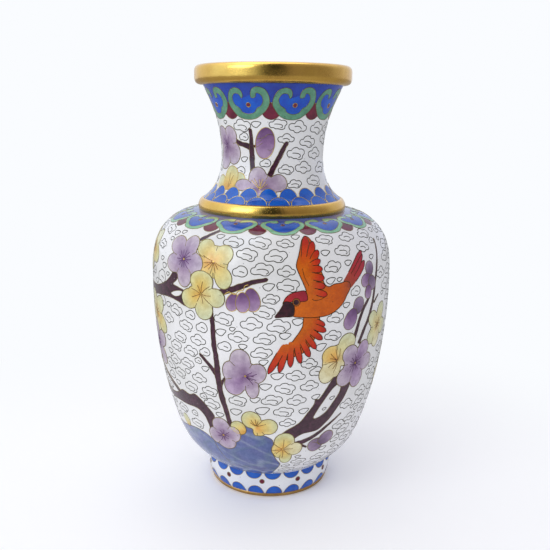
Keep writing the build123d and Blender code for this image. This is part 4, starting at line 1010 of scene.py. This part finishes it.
# lower wing, then its feathers, then the body with the upper wing
cell(bird_body_g, body, [(14.4, 91.9), (13.5, 87.2), (10.5, 82.4), (7.2, 78.0), (3.4, 72.6), (0.6, 68.9), (3.4, 70.2), (6.2, 72.0), (9.2, 73.4),
                         (13.2, 74.8), (16.4, 77.0), (18.6, 80.2), (20.4, 84.0), (21.4, 87.6), (21.2, 90.4), (20.7, 92.0)], 3, 50,
     bird_tone, wire=bird_wires, width=0.38)
for i, (root, tip, half) in enumerate([((17.6, 90.4), (23.8, 87.0), 1.25), ((17.0, 88.0), (24.5, 84.4), 1.35), ((15.6, 86.4), (23.0, 80.8), 1.35),
                                       ((14.4, 84.6), (20.2, 76.8), 1.3), ((12.6, 83.0), (17.5, 73.2), 1.35),
                                       ((10.8, 81.4), (13.4, 70.6), 1.35), ((8.8, 80.6), (8.9, 69.0), 1.35), ((7.2, 79.6), (4.0, 66.6), 1.4),
                                       ((6.2, 79.4), (-0.9, 66.0), 1.4)]):
    tongue(root, tip, half, 4 + i % 2, 51 + i, FEATHER)
cell(bird_body_g, body, [(9.2, 92.4), (14.5, 91.4), (20.7, 91.1), (25.8, 91.7), (29.6, 93.5), (32.7, 96.1), (34.6, 99.2), (36.4, 102.2),
                         (36.0, 104.4), (34.0, 105.4), (31.6, 105.0), (27.7, 104.8), (25.4, 104.0), (23.8, 104.6), (22.6, 106.6), (22.4, 109.0),
                         (21.3, 111.6), (20.6, 114.0), (20.3, 117.0), (19.8, 120.0), (19.3, 123.6), (17.9, 126.2), (16.5, 126.9),
                         (14.5, 125.0), (13.2, 121.7), (12.0, 118.0), (11.0, 115.2), (10.7, 113.3), (12.0, 109.7), (13.6, 106.1), (14.8, 103.0),
                         (14.6, 101.2), (12.4, 99.8), (10.0, 98.6), (9.4, 96.8), (9.3, 94.4)], 4, 62, bird_tone, wire=bird_wires, width=0.38)
for i, (root, tip, half) in enumerate([((14.0, 113.0), (16.6, 126.8), 1.75), ((15.6, 113.6), (19.6, 124.0), 1.5), ((16.6, 113.6), (21.2, 119.8), 1.4),
                                       ((15.4, 112.6), (21.6, 115.6), 1.35), ((15.6, 112.2), (22.3, 111.6), 1.5), ((16.2, 109.4), (23.0, 107.6), 1.55),
                                       ((17.0, 105.6), (23.4, 104.2), 1.45), ((17.6, 102.8), (24.4, 100.4), 1.35)]):
    tongue(root, tip, half, 5 + i % 2, 63 + i, FEATHER)
line(bird_wires, body, [(24.2, 100.2), (21.4, 98.8), (18.6, 98.6), (17.4, 99.4)], 4, 72, 0.28)
line(bird_wires, body, [(13.2, 112.4), (14.2, 108.6), (16.0, 105.0)], 4, 62.5, 0.24)
for i, (root, tip, half) in enumerate([((33.2, 104.0), (45.2, 117.3), 1.9), ((35.4, 102.6), (46.0, 112.8), 1.7), ((34.4, 104.2), (45.4, 115.6), 1.1)]):
    tongue(root, tip, half, 3 + i % 2, 56 + i, (lin(160, 72, 44), lin(176, 44, 52), CRIMSON))
cell(bird_feathers, body, [(5.0, 97.6), (5.4, 98.9), (6.1, 100.2), (8.1, 101.9), (11.4, 102.8), (14.4, 102.8), (15.4, 99.0), (12.4, 98.4), (9.8, 98.9),
                           (7.4, 98.0)], 6, 80, fade(lin(184, 38, 40), lin(150, 26, 50), (5, 98), (15, 102)), wire=bird_wires, width=0.32,
     grid=0.7, spacing=0.4)
cell(bird_dark, body, [(1.8, 91.9), (3.4, 94.4), (4.9, 96.9), (5.6, 98.5), (7.6, 98.5), (9.5, 97.3), (9.9, 94.4), (9.4, 92.4), (5.6, 92.0)], 7, 82,
     wire=bird_wires, width=0.32, grid=0.7, spacing=0.4)
cell(bird_feathers, body, on_wall(body, 10.6, 98.3, round_outline(1.65, 14)), 8, 84, lin(146, 84, 26), wire=bird_wires, width=0.24, spacing=0.3)
cell(bird_dark, body, on_wall(body, 10.6, 98.3, round_outline(1.15, 12)), 9, 86, spacing=0.3)

# ------------------------------------------------------------------ clouds in the white ground
cloud_front = Group("cloud_wires_front", WIRE_DARK, "wire")
cloud_back = Group("cloud_wires_back", WIRE_DARK, "wire")
neck_clouds = Group("cloud_wires_neck", WIRE_DARK, "wire")
CLOUDS = [
    ([(-4.9, -0.5), (-4.3, 0.7), (-3.0, 1.0), (-2.5, 2.0), (-0.9, 2.8), (0.8, 2.6), (1.7, 1.7), (3.2, 1.9), (4.5, 1.0), (4.7, -0.6),
      (3.5, -1.5), (2.4, -2.6), (0.3, -2.7), (-1.1, -2.0), (-3.1, -2.1), (-4.5, -1.6)],
     [(-2.3, -0.1), (-0.5, 0.15), (1.0, 0.0), (2.2, -0.5), (2.6, -1.4), (1.6, -2.1)]),
    ([(-4.8, 0.3), (-4.0, 1.5), (-2.7, 1.5), (-1.8, 2.5), (0.2, 2.9), (1.7, 2.1), (2.8, 2.2), (4.4, 1.3), (4.6, -0.2), (3.6, -1.0),
      (3.5, -2.2), (1.7, -2.9), (0.0, -2.3), (-1.4, -2.3), (-2.5, -1.6), (-4.1, -1.4)],
     [(-2.0, 0.3), (-0.2, 0.2), (1.3, -0.1), (2.3, -0.7), (2.2, -1.6), (1.2, -1.9)]),
    ([(-4.6, -0.8), (-4.7, 0.5), (-3.4, 1.3), (-2.3, 1.2), (-1.2, 2.6), (0.9, 2.9), (2.3, 2.0), (3.0, 1.0), (4.5, 0.5), (4.7, -0.9),
      (3.4, -1.9), (1.8, -1.8), (0.6, -2.7), (-1.2, -2.7), (-2.2, -1.9), (-3.7, -1.8)],
     [(-1.9, -0.1), (-0.2, 0.2), (1.3, -0.2), (2.0, -0.9)])]
ROUND_CLOUD = ([(-3.2, -0.6), (-2.9, 0.9), (-1.6, 1.5), (-0.4, 2.4), (1.4, 2.3), (2.7, 1.1), (2.9, -0.5), (1.9, -1.7), (0.3, -2.0),
                (-1.0, -1.6), (-2.3, -1.7)], [(-0.4, 0.2), (0.9, 0.0), (1.6, -0.4)])
TEAR = ([(-2.1, 0.4), (-1.0, 1.1), (0.6, 1.2), (2.1, 0.7), (1.1, -0.6), (0.1, -1.3), (-1.3, -0.9)], None)

FRONT = [
    ("C", -17.9, 123.5, 0.93), ("C", -5.3, 123.7, 1.00), ("C", 6.4, 123.4, 0.77), ("C", 26.2, 124.6, 0.88),
    ("C", 39.6, 124.8, 0.88), ("C", 53.1, 125.0, 0.88), ("R", 69.7, 124.6, 0.84), ("T", 24.7, 118.4, 1.01),
    ("C", -10.7, 118.1, 0.95), ("C", 2.0, 117.8, 1.00), ("C", 34.1, 118.6, 0.88), ("C", 47.5, 118.9, 0.88),
    ("C", 69.3, 117.0, 0.92), ("R", -13.1, 110.7, 1.05), ("C", -3.8, 112.1, 0.99), ("C", 6.4, 111.4, 0.79),
    ("C", 27.5, 112.3, 0.85), ("T", 35.8, 113.1, 0.92), ("T", 52.0, 113.7, 0.85), ("C", 66.5, 111.8, 0.92),
    ("T", -0.9, 104.8, 1.19), ("C", 7.2, 105.4, 1.00), ("T", 26.2, 106.4, 1.07), ("C", 0.1, 99.7, 0.75),
    ("R", 39.9, 100.1, 0.92), ("T", 34.6, 94.8, 0.92), ("C", -2.8, 94.0, 1.00), ("C", -46.9, 89.7, 0.88),
    ("R", -37.6, 89.0, 0.92), ("C", -53.8, 84.4, 0.88), ("C", -20.3, 89.8, 0.95), ("C", -8.2, 88.7, 1.00),
    ("C", 3.5, 87.9, 1.03), ("T", 11.7, 89.6, 1.25), ("C", 29.1, 90.0, 0.88), ("C", -40.8, 83.6, 0.88),
    ("R", -31.4, 84.3, 0.97), ("C", -45.3, 77.3, 0.88), ("C", -34.0, 78.2, 0.88), ("T", -21.8, 83.7, 1.16),
    ("C", -14.0, 82.4, 0.93), ("C", -2.5, 82.2, 1.00), ("T", 6.2, 83.5, 1.19), ("C", 28.4, 81.9, 0.88),
    ("C", -63.8, 124.9, 0.92), ("T", -49.2, 125.2, 0.76), ("T", -59.6, 110.9, 0.76), ("R", -59.4, 102.5, 1.26),
    ("R", -59.5, 91.3, 1.16), ("R", -20.3, 77.3, 1.01), ("C", -3.8, 75.7, 0.97), ("R", -30.5, 73.1, 0.90),
    ("C", -39.0, 72.0, 0.88), ("C", -49.3, 72.2, 0.88), ("C", -42.1, 65.5, 0.88), ("T", -2.9, 71.3, 0.98),
    ("C", 17.6, 70.1, 0.80), ("T", 22.6, 77.2, 1.28), ("C", -35.5, 59.5, 0.88), ("T", 3.3, 64.8, 1.37),
    ("C", 11.6, 64.7, 0.91), ("R", 21.2, 65.8, 0.95), ("C", -41.9, 53.4, 0.88), ("T", -2.0, 59.5, 1.28),
    ("C", 7.0, 58.5, 0.95), ("C", 18.5, 59.2, 0.89), ("C", -30.0, 53.9, 0.88), ("T", -6.9, 52.7, 1.10),
    ("C", 1.0, 52.8, 0.97), ("C", 12.8, 52.4, 0.91), ("T", 22.4, 53.0, 0.98), ("T", 31.8, 50.8, 0.67),
    ("C", -29.8, 47.5, 0.88), ("C", -15.4, 51.4, 0.87), ("T", -3.5, 47.1, 1.53), ("C", 6.8, 46.5, 0.95),
    ("T", 16.9, 46.3, 1.10), ("T", 28.1, 45.7, 0.52), ("C", 9.1, 40.6, 0.77), ("T", -16.7, 45.4, 1.28),
    ("T", -25.9, 42.3, 1.01), ("C", -54.5, 38.6, 0.88), ("C", -43.5, 33.1, 0.88), ("C", -51.7, 64.9, 0.88),
    ("C", -49.2, 58.7, 0.88), ("C", 42.9, 45.1, 0.88), ("C", 55.4, 43.9, 0.88), ("C", 41.3, 33.9, 0.88),
    ("C", 49.1, 36.1, 0.88), ("C", 18.9, 15.2, 0.77), ("C", 12.8, 7.1, 0.80), ("C", 32.7, 16.0, 0.88),
    ("C", 45.5, 17.1, 0.88), ("C", 51.8, 23.9, 0.88), ("C", 62.7, 28.2, 0.92), ("C", 71.8, 33.6, 0.92)]
NECK_FRONT = [
    ("C", -32.5, 37.1, 0.88), ("T", -16.5, 37.7, 0.99), ("T", -55.7, 38.4, 0.60), ("C", 5.3, 37.8, 0.78),
    ("C", 26.2, 36.8, 0.88), ("C", 52.2, 36.2, 0.88), ("C", 14.2, 31.5, 0.74), ("C", 40.7, 30.1, 0.88),
    ("C", 73.0, 31.0, 0.92), ("R", -31.1, 32.0, 0.70), ("C", 26.3, 24.9, 0.87), ("C", 53.2, 24.8, 0.88),
    ("T", -31.4, 22.1, 0.79), ("R", -7.2, 20.6, 0.75), ("C", 14.9, 17.9, 0.70), ("C", 35.8, 18.7, 0.88),
    ("C", 65.1, 18.3, 0.92), ("R", -35.8, 16.8, 0.79), ("C", 23.0, 11.4, 0.69), ("C", 48.3, 12.4, 0.88),
    ("C", 88.0, 11.4, 0.92)]


def lay_clouds(wall, group_of, s0, s1, row, across, size, seed, given):
    rng = random.Random(seed)
    cw, ch = 0.5, 0.5
    Rref = float(wall.radius((s0 + s1) / 2))
    ns = int((s1 - s0 + 8) / ch)
    nd = 720
    busy = np.zeros((ns, nd), bool)
    dd = (np.arange(nd) + 0.5) * 0.5 - 180
    ss = s0 - 4 + (np.arange(ns) + 0.5) * ch
    for c in CELLS:
        if c.wall is not wall:
            continue
        ring = c.outline
        k = math.radians(1) * float(wall.radius(ring[:, 1].mean()))
        i0, i1 = np.searchsorted(ss, c.lo[1] - 1), np.searchsorted(ss, c.hi[1] + 1)
        if i1 <= i0:
            continue
        for turn in (-360, 0, 360):
            lo, hi = c.lo[0] + turn - 2, c.hi[0] + turn + 2
            j = np.where((dd > lo) & (dd < hi))[0]
            if not len(j):
                continue
            gd, gs = np.meshgrid(dd[j] - turn, ss[i0:i1])
            hit = inside(ring, np.stack([gd.ravel(), gs.ravel()], -1)).reshape(gd.shape)
            busy[i0:i1, j[0]:j[-1] + 1] |= hit
    motif = busy.copy()

    def footprint(deg, s, shape, sc, grow=0.35):
        P = curve_through(np.array(shape) * sc, 0.9, True)
        c = P.mean(0)
        d = P - c
        P = c + d * (1 + grow / np.maximum(np.linalg.norm(d, axis=1), 0.3))[:, None]
        k = math.degrees(1) / float(wall.radius(s))
        w, h = np.abs(P[:, 0]).max() * k, np.abs(P[:, 1]).max()
        i = np.where((ss > s - h - 0.5) & (ss < s + h + 0.5))[0]
        j = np.arange(int((deg - w + 180) / 0.5) - 1, int((deg + w + 180) / 0.5) + 2)
        if not len(i):
            return None
        jm = j % nd
        gd, gs = np.meshgrid(((j + 0.5) * 0.5 - 180 - deg) / k, ss[i] - s)
        hit = inside(P, np.stack([gd.ravel(), gs.ravel()], -1)).reshape(gd.shape)
        return i, jm, hit

    def put(deg, s, model, sc, limit, grow=0.35):
        if s < s0 or s > s1:
            return False
        fp = footprint(deg, s, model[0], sc, grow)
        if fp is None:
            return False
        i, j, hit = fp
        total = hit.sum()
        over = (busy[np.ix_(i, j)] & hit).sum()
        if total == 0 or over > limit * total:
            return False
        sub = busy[np.ix_(i, j)]
        sub |= hit
        busy[np.ix_(i, j)] = sub
        deg = (deg + 180) % 360 - 180
        g = group_of(deg)
        tilt = rng.uniform(-0.10, 0.10)
        ct, st = math.cos(tilt), math.sin(tilt)
        sx, sy = sc * rng.uniform(0.95, 1.05), sc * rng.uniform(0.94, 1.06)
        k = math.degrees(1) / float(wall.radius(s))
        if limit >= 1:
            sx = sc

        def world(pts):
            return [(deg + (x * sx * ct - y * sy * st) * k, s + x * sx * st + y * sy * ct) for x, y in pts]
        line(g, wall, world(model[0]), 0, 5, 0.42, 0.62, True)
        if model[1]:
            line(g, wall, world(model[1]), 0, 5, 0.40, 0.55)
        return True
    for i, (kind, deg, s, sc) in enumerate(given):
        put(deg, s, CLOUDS[(i * 7 + i // 3) % 3] if kind == "C" else ROUND_CLOUD if kind == "R" else TEAR, sc * (1.07 if wall is neck else 1.0), 1.0)
    rows = int((s1 - s0) / row) + 1
    for r in range(rows):
        s = s0 + row * (r + 0.5)
        R = float(wall.radius(s))
        n = max(6, int(round(2 * math.pi * R / across)))
        off = (r % 2) * 180 / n
        for q in range(n):
            deg = -180 + off + 360 * q / n + rng.uniform(-1, 1) * 30 / R
            put(deg, s + rng.uniform(-0.35, 0.35), CLOUDS[rng.randrange(3)], size * rng.uniform(0.94, 1.04), 0.06 if abs(deg) < 78 else 0.30)
    for model, sc, tries in ((CLOUDS[0], size * 0.82, 700), (ROUND_CLOUD, size * 0.95, 1500), (ROUND_CLOUD, size * 0.7, 1200),
                             (TEAR, size * 1.0, 1500), (TEAR, size * 0.75, 1000)):
        for _ in range(tries):
            deg = rng.uniform(-180, 180)
            if wall is neck and abs(deg) < 80:  # the front of the neck has no small cells between its clouds
                continue
            put(deg, rng.uniform(s0, s1), model, sc * rng.uniform(0.92, 1.05), 0.02, 0.62)


lay_clouds(body, lambda d: cloud_front if abs(d) < 90 else cloud_back, 2.0, 128.5, 6.25, 10.9, 0.97, 7, FRONT)
lay_clouds(neck, lambda d: neck_clouds, 9.5, 41.5, 6.0, 9.6, 0.84, 11, NECK_FRONT)

draw_wires()

# ------------------------------------------------------------------ metal rings, linings and base
RIM_R, RIM_Z, MOUTH_R, HEIGHT = 36.5, 194.2, 30.0, 203.0


def bezier(p0, p1, p2, n=10):
    p0, p1, p2 = (np.array(p, float) for p in (p0, p1, p2))
    t = np.linspace(0, 1, n)[:, None]
    return ((1 - t) ** 2 * p0 + 2 * t * (1 - t) * p1 + t ** 2 * p2).tolist()


def straight(p, q, n):
    p, q = np.array(p, float), np.array(q, float)
    return [(p + (q - p) * i / n).tolist() for i in range(1, n)]


rim = Group("mouth_rim_gilt", GILT, "gilt")
prof = bezier((33.2, RIM_Z), (RIM_R, RIM_Z), (RIM_R, RIM_Z + 3.2), 12)
prof += straight((RIM_R, RIM_Z + 3.2), (RIM_R, HEIGHT - 3.0), 4)
prof += bezier((RIM_R, HEIGHT - 3.0), (RIM_R, HEIGHT), (RIM_R - 3.0, HEIGHT), 12)
prof += straight((RIM_R - 3.0, HEIGHT), (MOUTH_R + 1.6, HEIGHT), 3)
prof += bezier((MOUTH_R + 1.6, HEIGHT), (MOUTH_R, HEIGHT), (MOUTH_R, HEIGHT - 1.6), 8)
prof += straight((MOUTH_R, HEIGHT - 1.6), (MOUTH_R, RIM_Z), 4) + [[MOUTH_R, RIM_Z]]
revolve(rim, prof, (0, len(prof) - 1))
rim.make("mouth_rim")
collar = Group("neck_collar_gilt", GILT, "gilt")
prof = [[31.6, 136.1], [33.9, 136.1]] + bezier((34.5, 136.2), (36.1, 138.9), (34.1, 141.7), 14)
prof += bezier((34.1, 141.7), (33.7, 142.3), (32.6, 142.35), 6)[1:] + [[31.6, 142.3]]
revolve(collar, prof, (0, len(prof) - 1))
collar.make("neck_collar")
ring = Group("foot_rim_gilt", GILT_WORN, "gilt")
prof = [[26.6, 0.02]] + straight((26.6, 0.02), (28.4, 0.0), 3) + bezier((28.4, 0.0), (29.2, 0.0), (29.35, 0.8), 8)
prof += bezier((29.35, 0.8), (29.6, 1.8), (29.2, 1.9), 8)[1:] + [[28.6, 1.9], [28.4, 1.36], [26.6, 1.36]]
revolve(ring, prof, (0, len(prof) - 1))
ring.make("foot_rim")


def offset_profile(wall, depth, s0, s1, n):
    s = np.linspace(s0, s1, n)
    return np.stack([np.interp(s, wall.s, wall.P[:, 0]) - depth * np.interp(s, wall.s, wall.nr),
                     np.interp(s, wall.s, wall.P[:, 1]) - depth * np.interp(s, wall.s, wall.nz)], -1)


inner_neck = Group("neck_lining_glaze", TURQUOISE, "counter_enamel")
a, b = offset_profile(neck, 2.3, 0.0, neck.L, 60), offset_profile(neck, 1.8, 0.0, neck.L, 60)[::-1]
revolve(inner_neck, np.vstack([a, b]), (0, 59, 60, 119), 200)
inner_neck.make("neck_lining")
inner_body = Group("body_lining_glaze", TURQUOISE, "counter_enamel")
a, b = offset_profile(body, 2.3, 1.2, body.L - 1.0, 120), offset_profile(body, 1.8, 1.2, body.L - 1.0, 120)[::-1]
revolve(inner_body, np.vstack([a, b]), (0, 119, 120, 239), 200)
disc = [[0.02, 13.95]] + straight((0.02, 13.95), (29.5, 13.95), 6) + [[29.9, 14.1], [30.3, 13.5], [0.02, 13.45]]
revolve(inner_body, disc, (), 96)
inner_body.make("body_lining")
upper_wall = Group("upper_body_copper_wall", COPPER, "copper")
a, b = offset_profile(body, 0.30, body.s_of(76.0), body.L, 90), offset_profile(body, 1.80, body.s_of(76.0), body.L, 90)[::-1]
revolve(upper_wall, np.vstack([a, b]), (0, 89, 90, 179), 200)
upper_wall.make("upper_body_copper")
under = Group("base_counter_enamel_glaze", TURQUOISE, "counter_enamel")
disc = [[0.02, 11.9]] + straight((0.02, 11.9), (28.6, 11.9), 8) + bezier((28.6, 11.9), (29.0, 11.95), (29.05, 12.3), 5) + [[0.02, 12.38]]
revolve(under, disc[::-1], (), 160)
under.make("base_counter_enamel")

for n in ("neck_copper", "lower_body_copper", "foot_copper", "base_plate"):
    frame["nodes"][n].data.materials.append(COPPER)

white_body.make("body_white_enamel")
white_neck.make("neck_white_enamel")
white_foot.make("foot_white_enamel")
neck_blue.make("neck_border_enamel")
shoulder_blue.make("shoulder_border_enamel")
neck_inner.make()
shoulder_inner.make()
green.make("neck_ruyi_enamel")
pale_green.make("shoulder_ruyi_enamel")
neck_drops.make("neck_drop_enamel")
shoulder_drops.make("shoulder_drop_enamel")
border_wires.make("neck_border_wires", "shoulder_border_wires")
scales.make("neck_scale_enamel")
scale_wires.make("scale_wires")
scallops.make("foot_scallop_enamel")
foot_dots.make("foot_dot_enamel")
foot_wires.make("foot_wires")
lilac.make("lilac_petals")
yellow.make("yellow_petals")
buds.make("plum_buds")
branches.make("branches")
rock.make("garden_rock")
motif_wires.make("blossom_wires", "branch_wires", "rock_wires", "bird_wires")
stamen_wires.make()
dark_stamens.make()
hearts.make()
bird_feathers.make("bird_feathers", "bird_wing_tips")
bird_body_g.make()
bird_dark.make("bird_head")
bird_wires.make()
cloud_front.make("cloud_wires")
cloud_back.make()
neck_clouds.make()

# ------------------------------------------------------------------ floor, light, camera
stage_mat, nt, bsdf = shader("studio_floor")
tint = mix(nt, noise(nt, coords(nt), 6.0, 2.0), lin(246, 246, 250), lin(250, 250, 252))
nt.links.new(tint, bsdf.inputs["Base Color"])
bsdf.inputs["Roughness"].default_value = 0.6
bsdf.inputs["Specular IOR Level"].default_value = 0.2
bsdf.inputs["Emission Color"].default_value = (0.93, 0.95, 1.0, 1.0)
bsdf.inputs["Emission Strength"].default_value = 0.16
away = nt.nodes.new("ShaderNodeVectorMath")
away.operation = "LENGTH"
nt.links.new(coords(nt), away.inputs[0])
far = ramp(nt, arith(nt, "DIVIDE", away.outputs["Value"], 0.9, True), [(0.05, 0.0), (0.28, 1.0)], "EASE")
glow = nt.nodes.new("ShaderNodeEmission")
glow.inputs[0].default_value = (*lin(250, 252, 255), 1)
glow.inputs[1].default_value = 1.0
lamp = nt.nodes.new("ShaderNodeLightPath")
nt.links.new(arith(nt, "SUBTRACT", 1.0, arith(nt, "MULTIPLY", lamp.outputs["Is Glossy Ray"], 0.55)), glow.inputs[1])
nt.links.new(arith(nt, "SUBTRACT", 0.16, arith(nt, "MULTIPLY", lamp.outputs["Is Glossy Ray"], 0.16)), bsdf.inputs["Emission Strength"])
blend = nt.nodes.new("ShaderNodeMixShader")
nt.links.new(far, blend.inputs[0])
nt.links.new(bsdf.outputs[0], blend.inputs[1])
nt.links.new(glow.outputs[0], blend.inputs[2])
target = [n for n in nt.nodes if n.type == "OUTPUT_MATERIAL"][0]
nt.links.new(blend.outputs[0], target.inputs[0])
floor_mesh = bpy.data.meshes.new("studio_floor")
ring_pts = [(3.0 * math.cos(2 * math.pi * i / 96), 3.0 * math.sin(2 * math.pi * i / 96), FLOOR_Z - 0.0002) for i in range(96)]
floor_mesh.from_pydata(ring_pts, [], [tuple(range(96))])
floor_mesh.materials.append(stage_mat)
floor = bpy.data.objects.new("studio_floor", floor_mesh)
bpy.context.scene.collection.objects.link(floor)


def area_light(name, where, target, size, power, colour=(1, 1, 1), size_y=None):
    data = bpy.data.lights.new(name, "AREA")
    data.energy, data.color = power, colour
    data.shape = "RECTANGLE"
    data.size, data.size_y = size, size_y or size
    obj = bpy.data.objects.new(name, data)
    bpy.context.scene.collection.objects.link(obj)
    obj.location = where
    obj.rotation_mode = "QUATERNION"
    obj.rotation_quaternion = (Vector(target) - Vector(where)).to_track_quat("-Z", "Y")
    return obj


area_light("key", (-0.85, -0.75, 0.75), (0, 0, 0.1), 0.7, 4.2)
area_light("top", (-0.1, 0.1, 1.1), (0, 0, 0.1), 0.9, 2.4)

world = bpy.data.worlds.new("studio")
bpy.context.scene.world = world
world.use_nodes = True
nt = world.node_tree
nt.nodes.clear()
out = nt.nodes.new("ShaderNodeOutputWorld")
path = nt.nodes.new("ShaderNodeLightPath")
soft = nt.nodes.new("ShaderNodeBackground")
soft.inputs[0].default_value = (0.97, 0.98, 1.0, 1)
soft.inputs[1].default_value = 0.65
seen = nt.nodes.new("ShaderNodeBackground")
seen.inputs[0].default_value = (*lin(250, 252, 255), 1)
seen.inputs[1].default_value = 1.0
room = nt.nodes.new("ShaderNodeBackground")
direction = nt.nodes.new("ShaderNodeTexCoord").outputs["Generated"]
sep = nt.nodes.new("ShaderNodeSeparateXYZ")
nt.links.new(direction, sep.inputs[0])
turn = arith(nt, "ARCTAN2", sep.outputs[0], arith(nt, "MULTIPLY", sep.outputs[1], -1.0))
turn = arith(nt, "ADD", arith(nt, "DIVIDE", turn, 2 * math.pi), 0.5)
around = ramp(nt, turn, [(0.0, (1.1, 1.15, 1.3)), (0.15, (1.15, 1.25, 1.4)), (0.256, (1.25, 1.5, 2.0)), (0.37, (1.5, 1.9, 2.4)), (0.43, (0.75, 0.9, 1.0)),
                          (0.465, (0.04, 0.05, 0.06)), (0.528, (0.02, 0.03, 0.04)), (0.575, (0.34, 0.32, 0.36)), (0.647, (0.36, 0.35, 0.34)),
                          (0.74, (0.46, 0.47, 0.55)), (0.82, (0.85, 0.92, 1.2)), (1.0, (1.1, 1.15, 1.3))])
up = ramp(nt, sep.outputs[2], [(0.0, 0.8), (0.45, 0.85), (0.75, 1.1)])
nt.links.new(mix(nt, 1.0, around, up, "MULTIPLY"), room.inputs[0])
fill = ramp(nt, turn, [(0.0, (0.92, 0.94, 1.0)), (0.25, (1.0, 1.0, 1.0)), (0.5, (0.94, 0.93, 0.94)), (0.70, (0.76, 0.73, 0.76)), (0.85, (0.88, 0.87, 0.94)),
                        (1.0, (0.92, 0.94, 1.0))])
nt.links.new(fill, soft.inputs[0])
a = nt.nodes.new("ShaderNodeMixShader")
b = nt.nodes.new("ShaderNodeMixShader")
nt.links.new(path.outputs["Is Glossy Ray"], a.inputs[0])
nt.links.new(soft.outputs[0], a.inputs[1])
nt.links.new(room.outputs[0], a.inputs[2])
nt.links.new(path.outputs["Is Camera Ray"], b.inputs[0])
nt.links.new(a.outputs[0], b.inputs[1])
nt.links.new(seen.outputs[0], b.inputs[2])
nt.links.new(b.outputs[0], out.inputs[0])

bpy.context.scene.view_settings.view_transform = "Standard"
bpy.context.scene.view_settings.look = "None"

cam_data = bpy.data.cameras.new("camera")
cam_data.sensor_width = 36.0
cam_data.lens = 47.934
cam_data.shift_x = 0.00704
cam_data.clip_start, cam_data.clip_end = 0.01, 50
cam = bpy.data.objects.new("camera", cam_data)
bpy.context.scene.collection.objects.link(cam)
cam.location = (0.0, -0.3514746, FLOOR_Z + 0.1848964)
cam.rotation_mode = "QUATERNION"
cam.rotation_quaternion = (Matrix.Rotation(math.pi / 2 - 0.2269, 3, "X") @ Matrix.Rotation(0.0105, 3, "Z")).to_quaternion()
bpy.context.scene.camera = cam
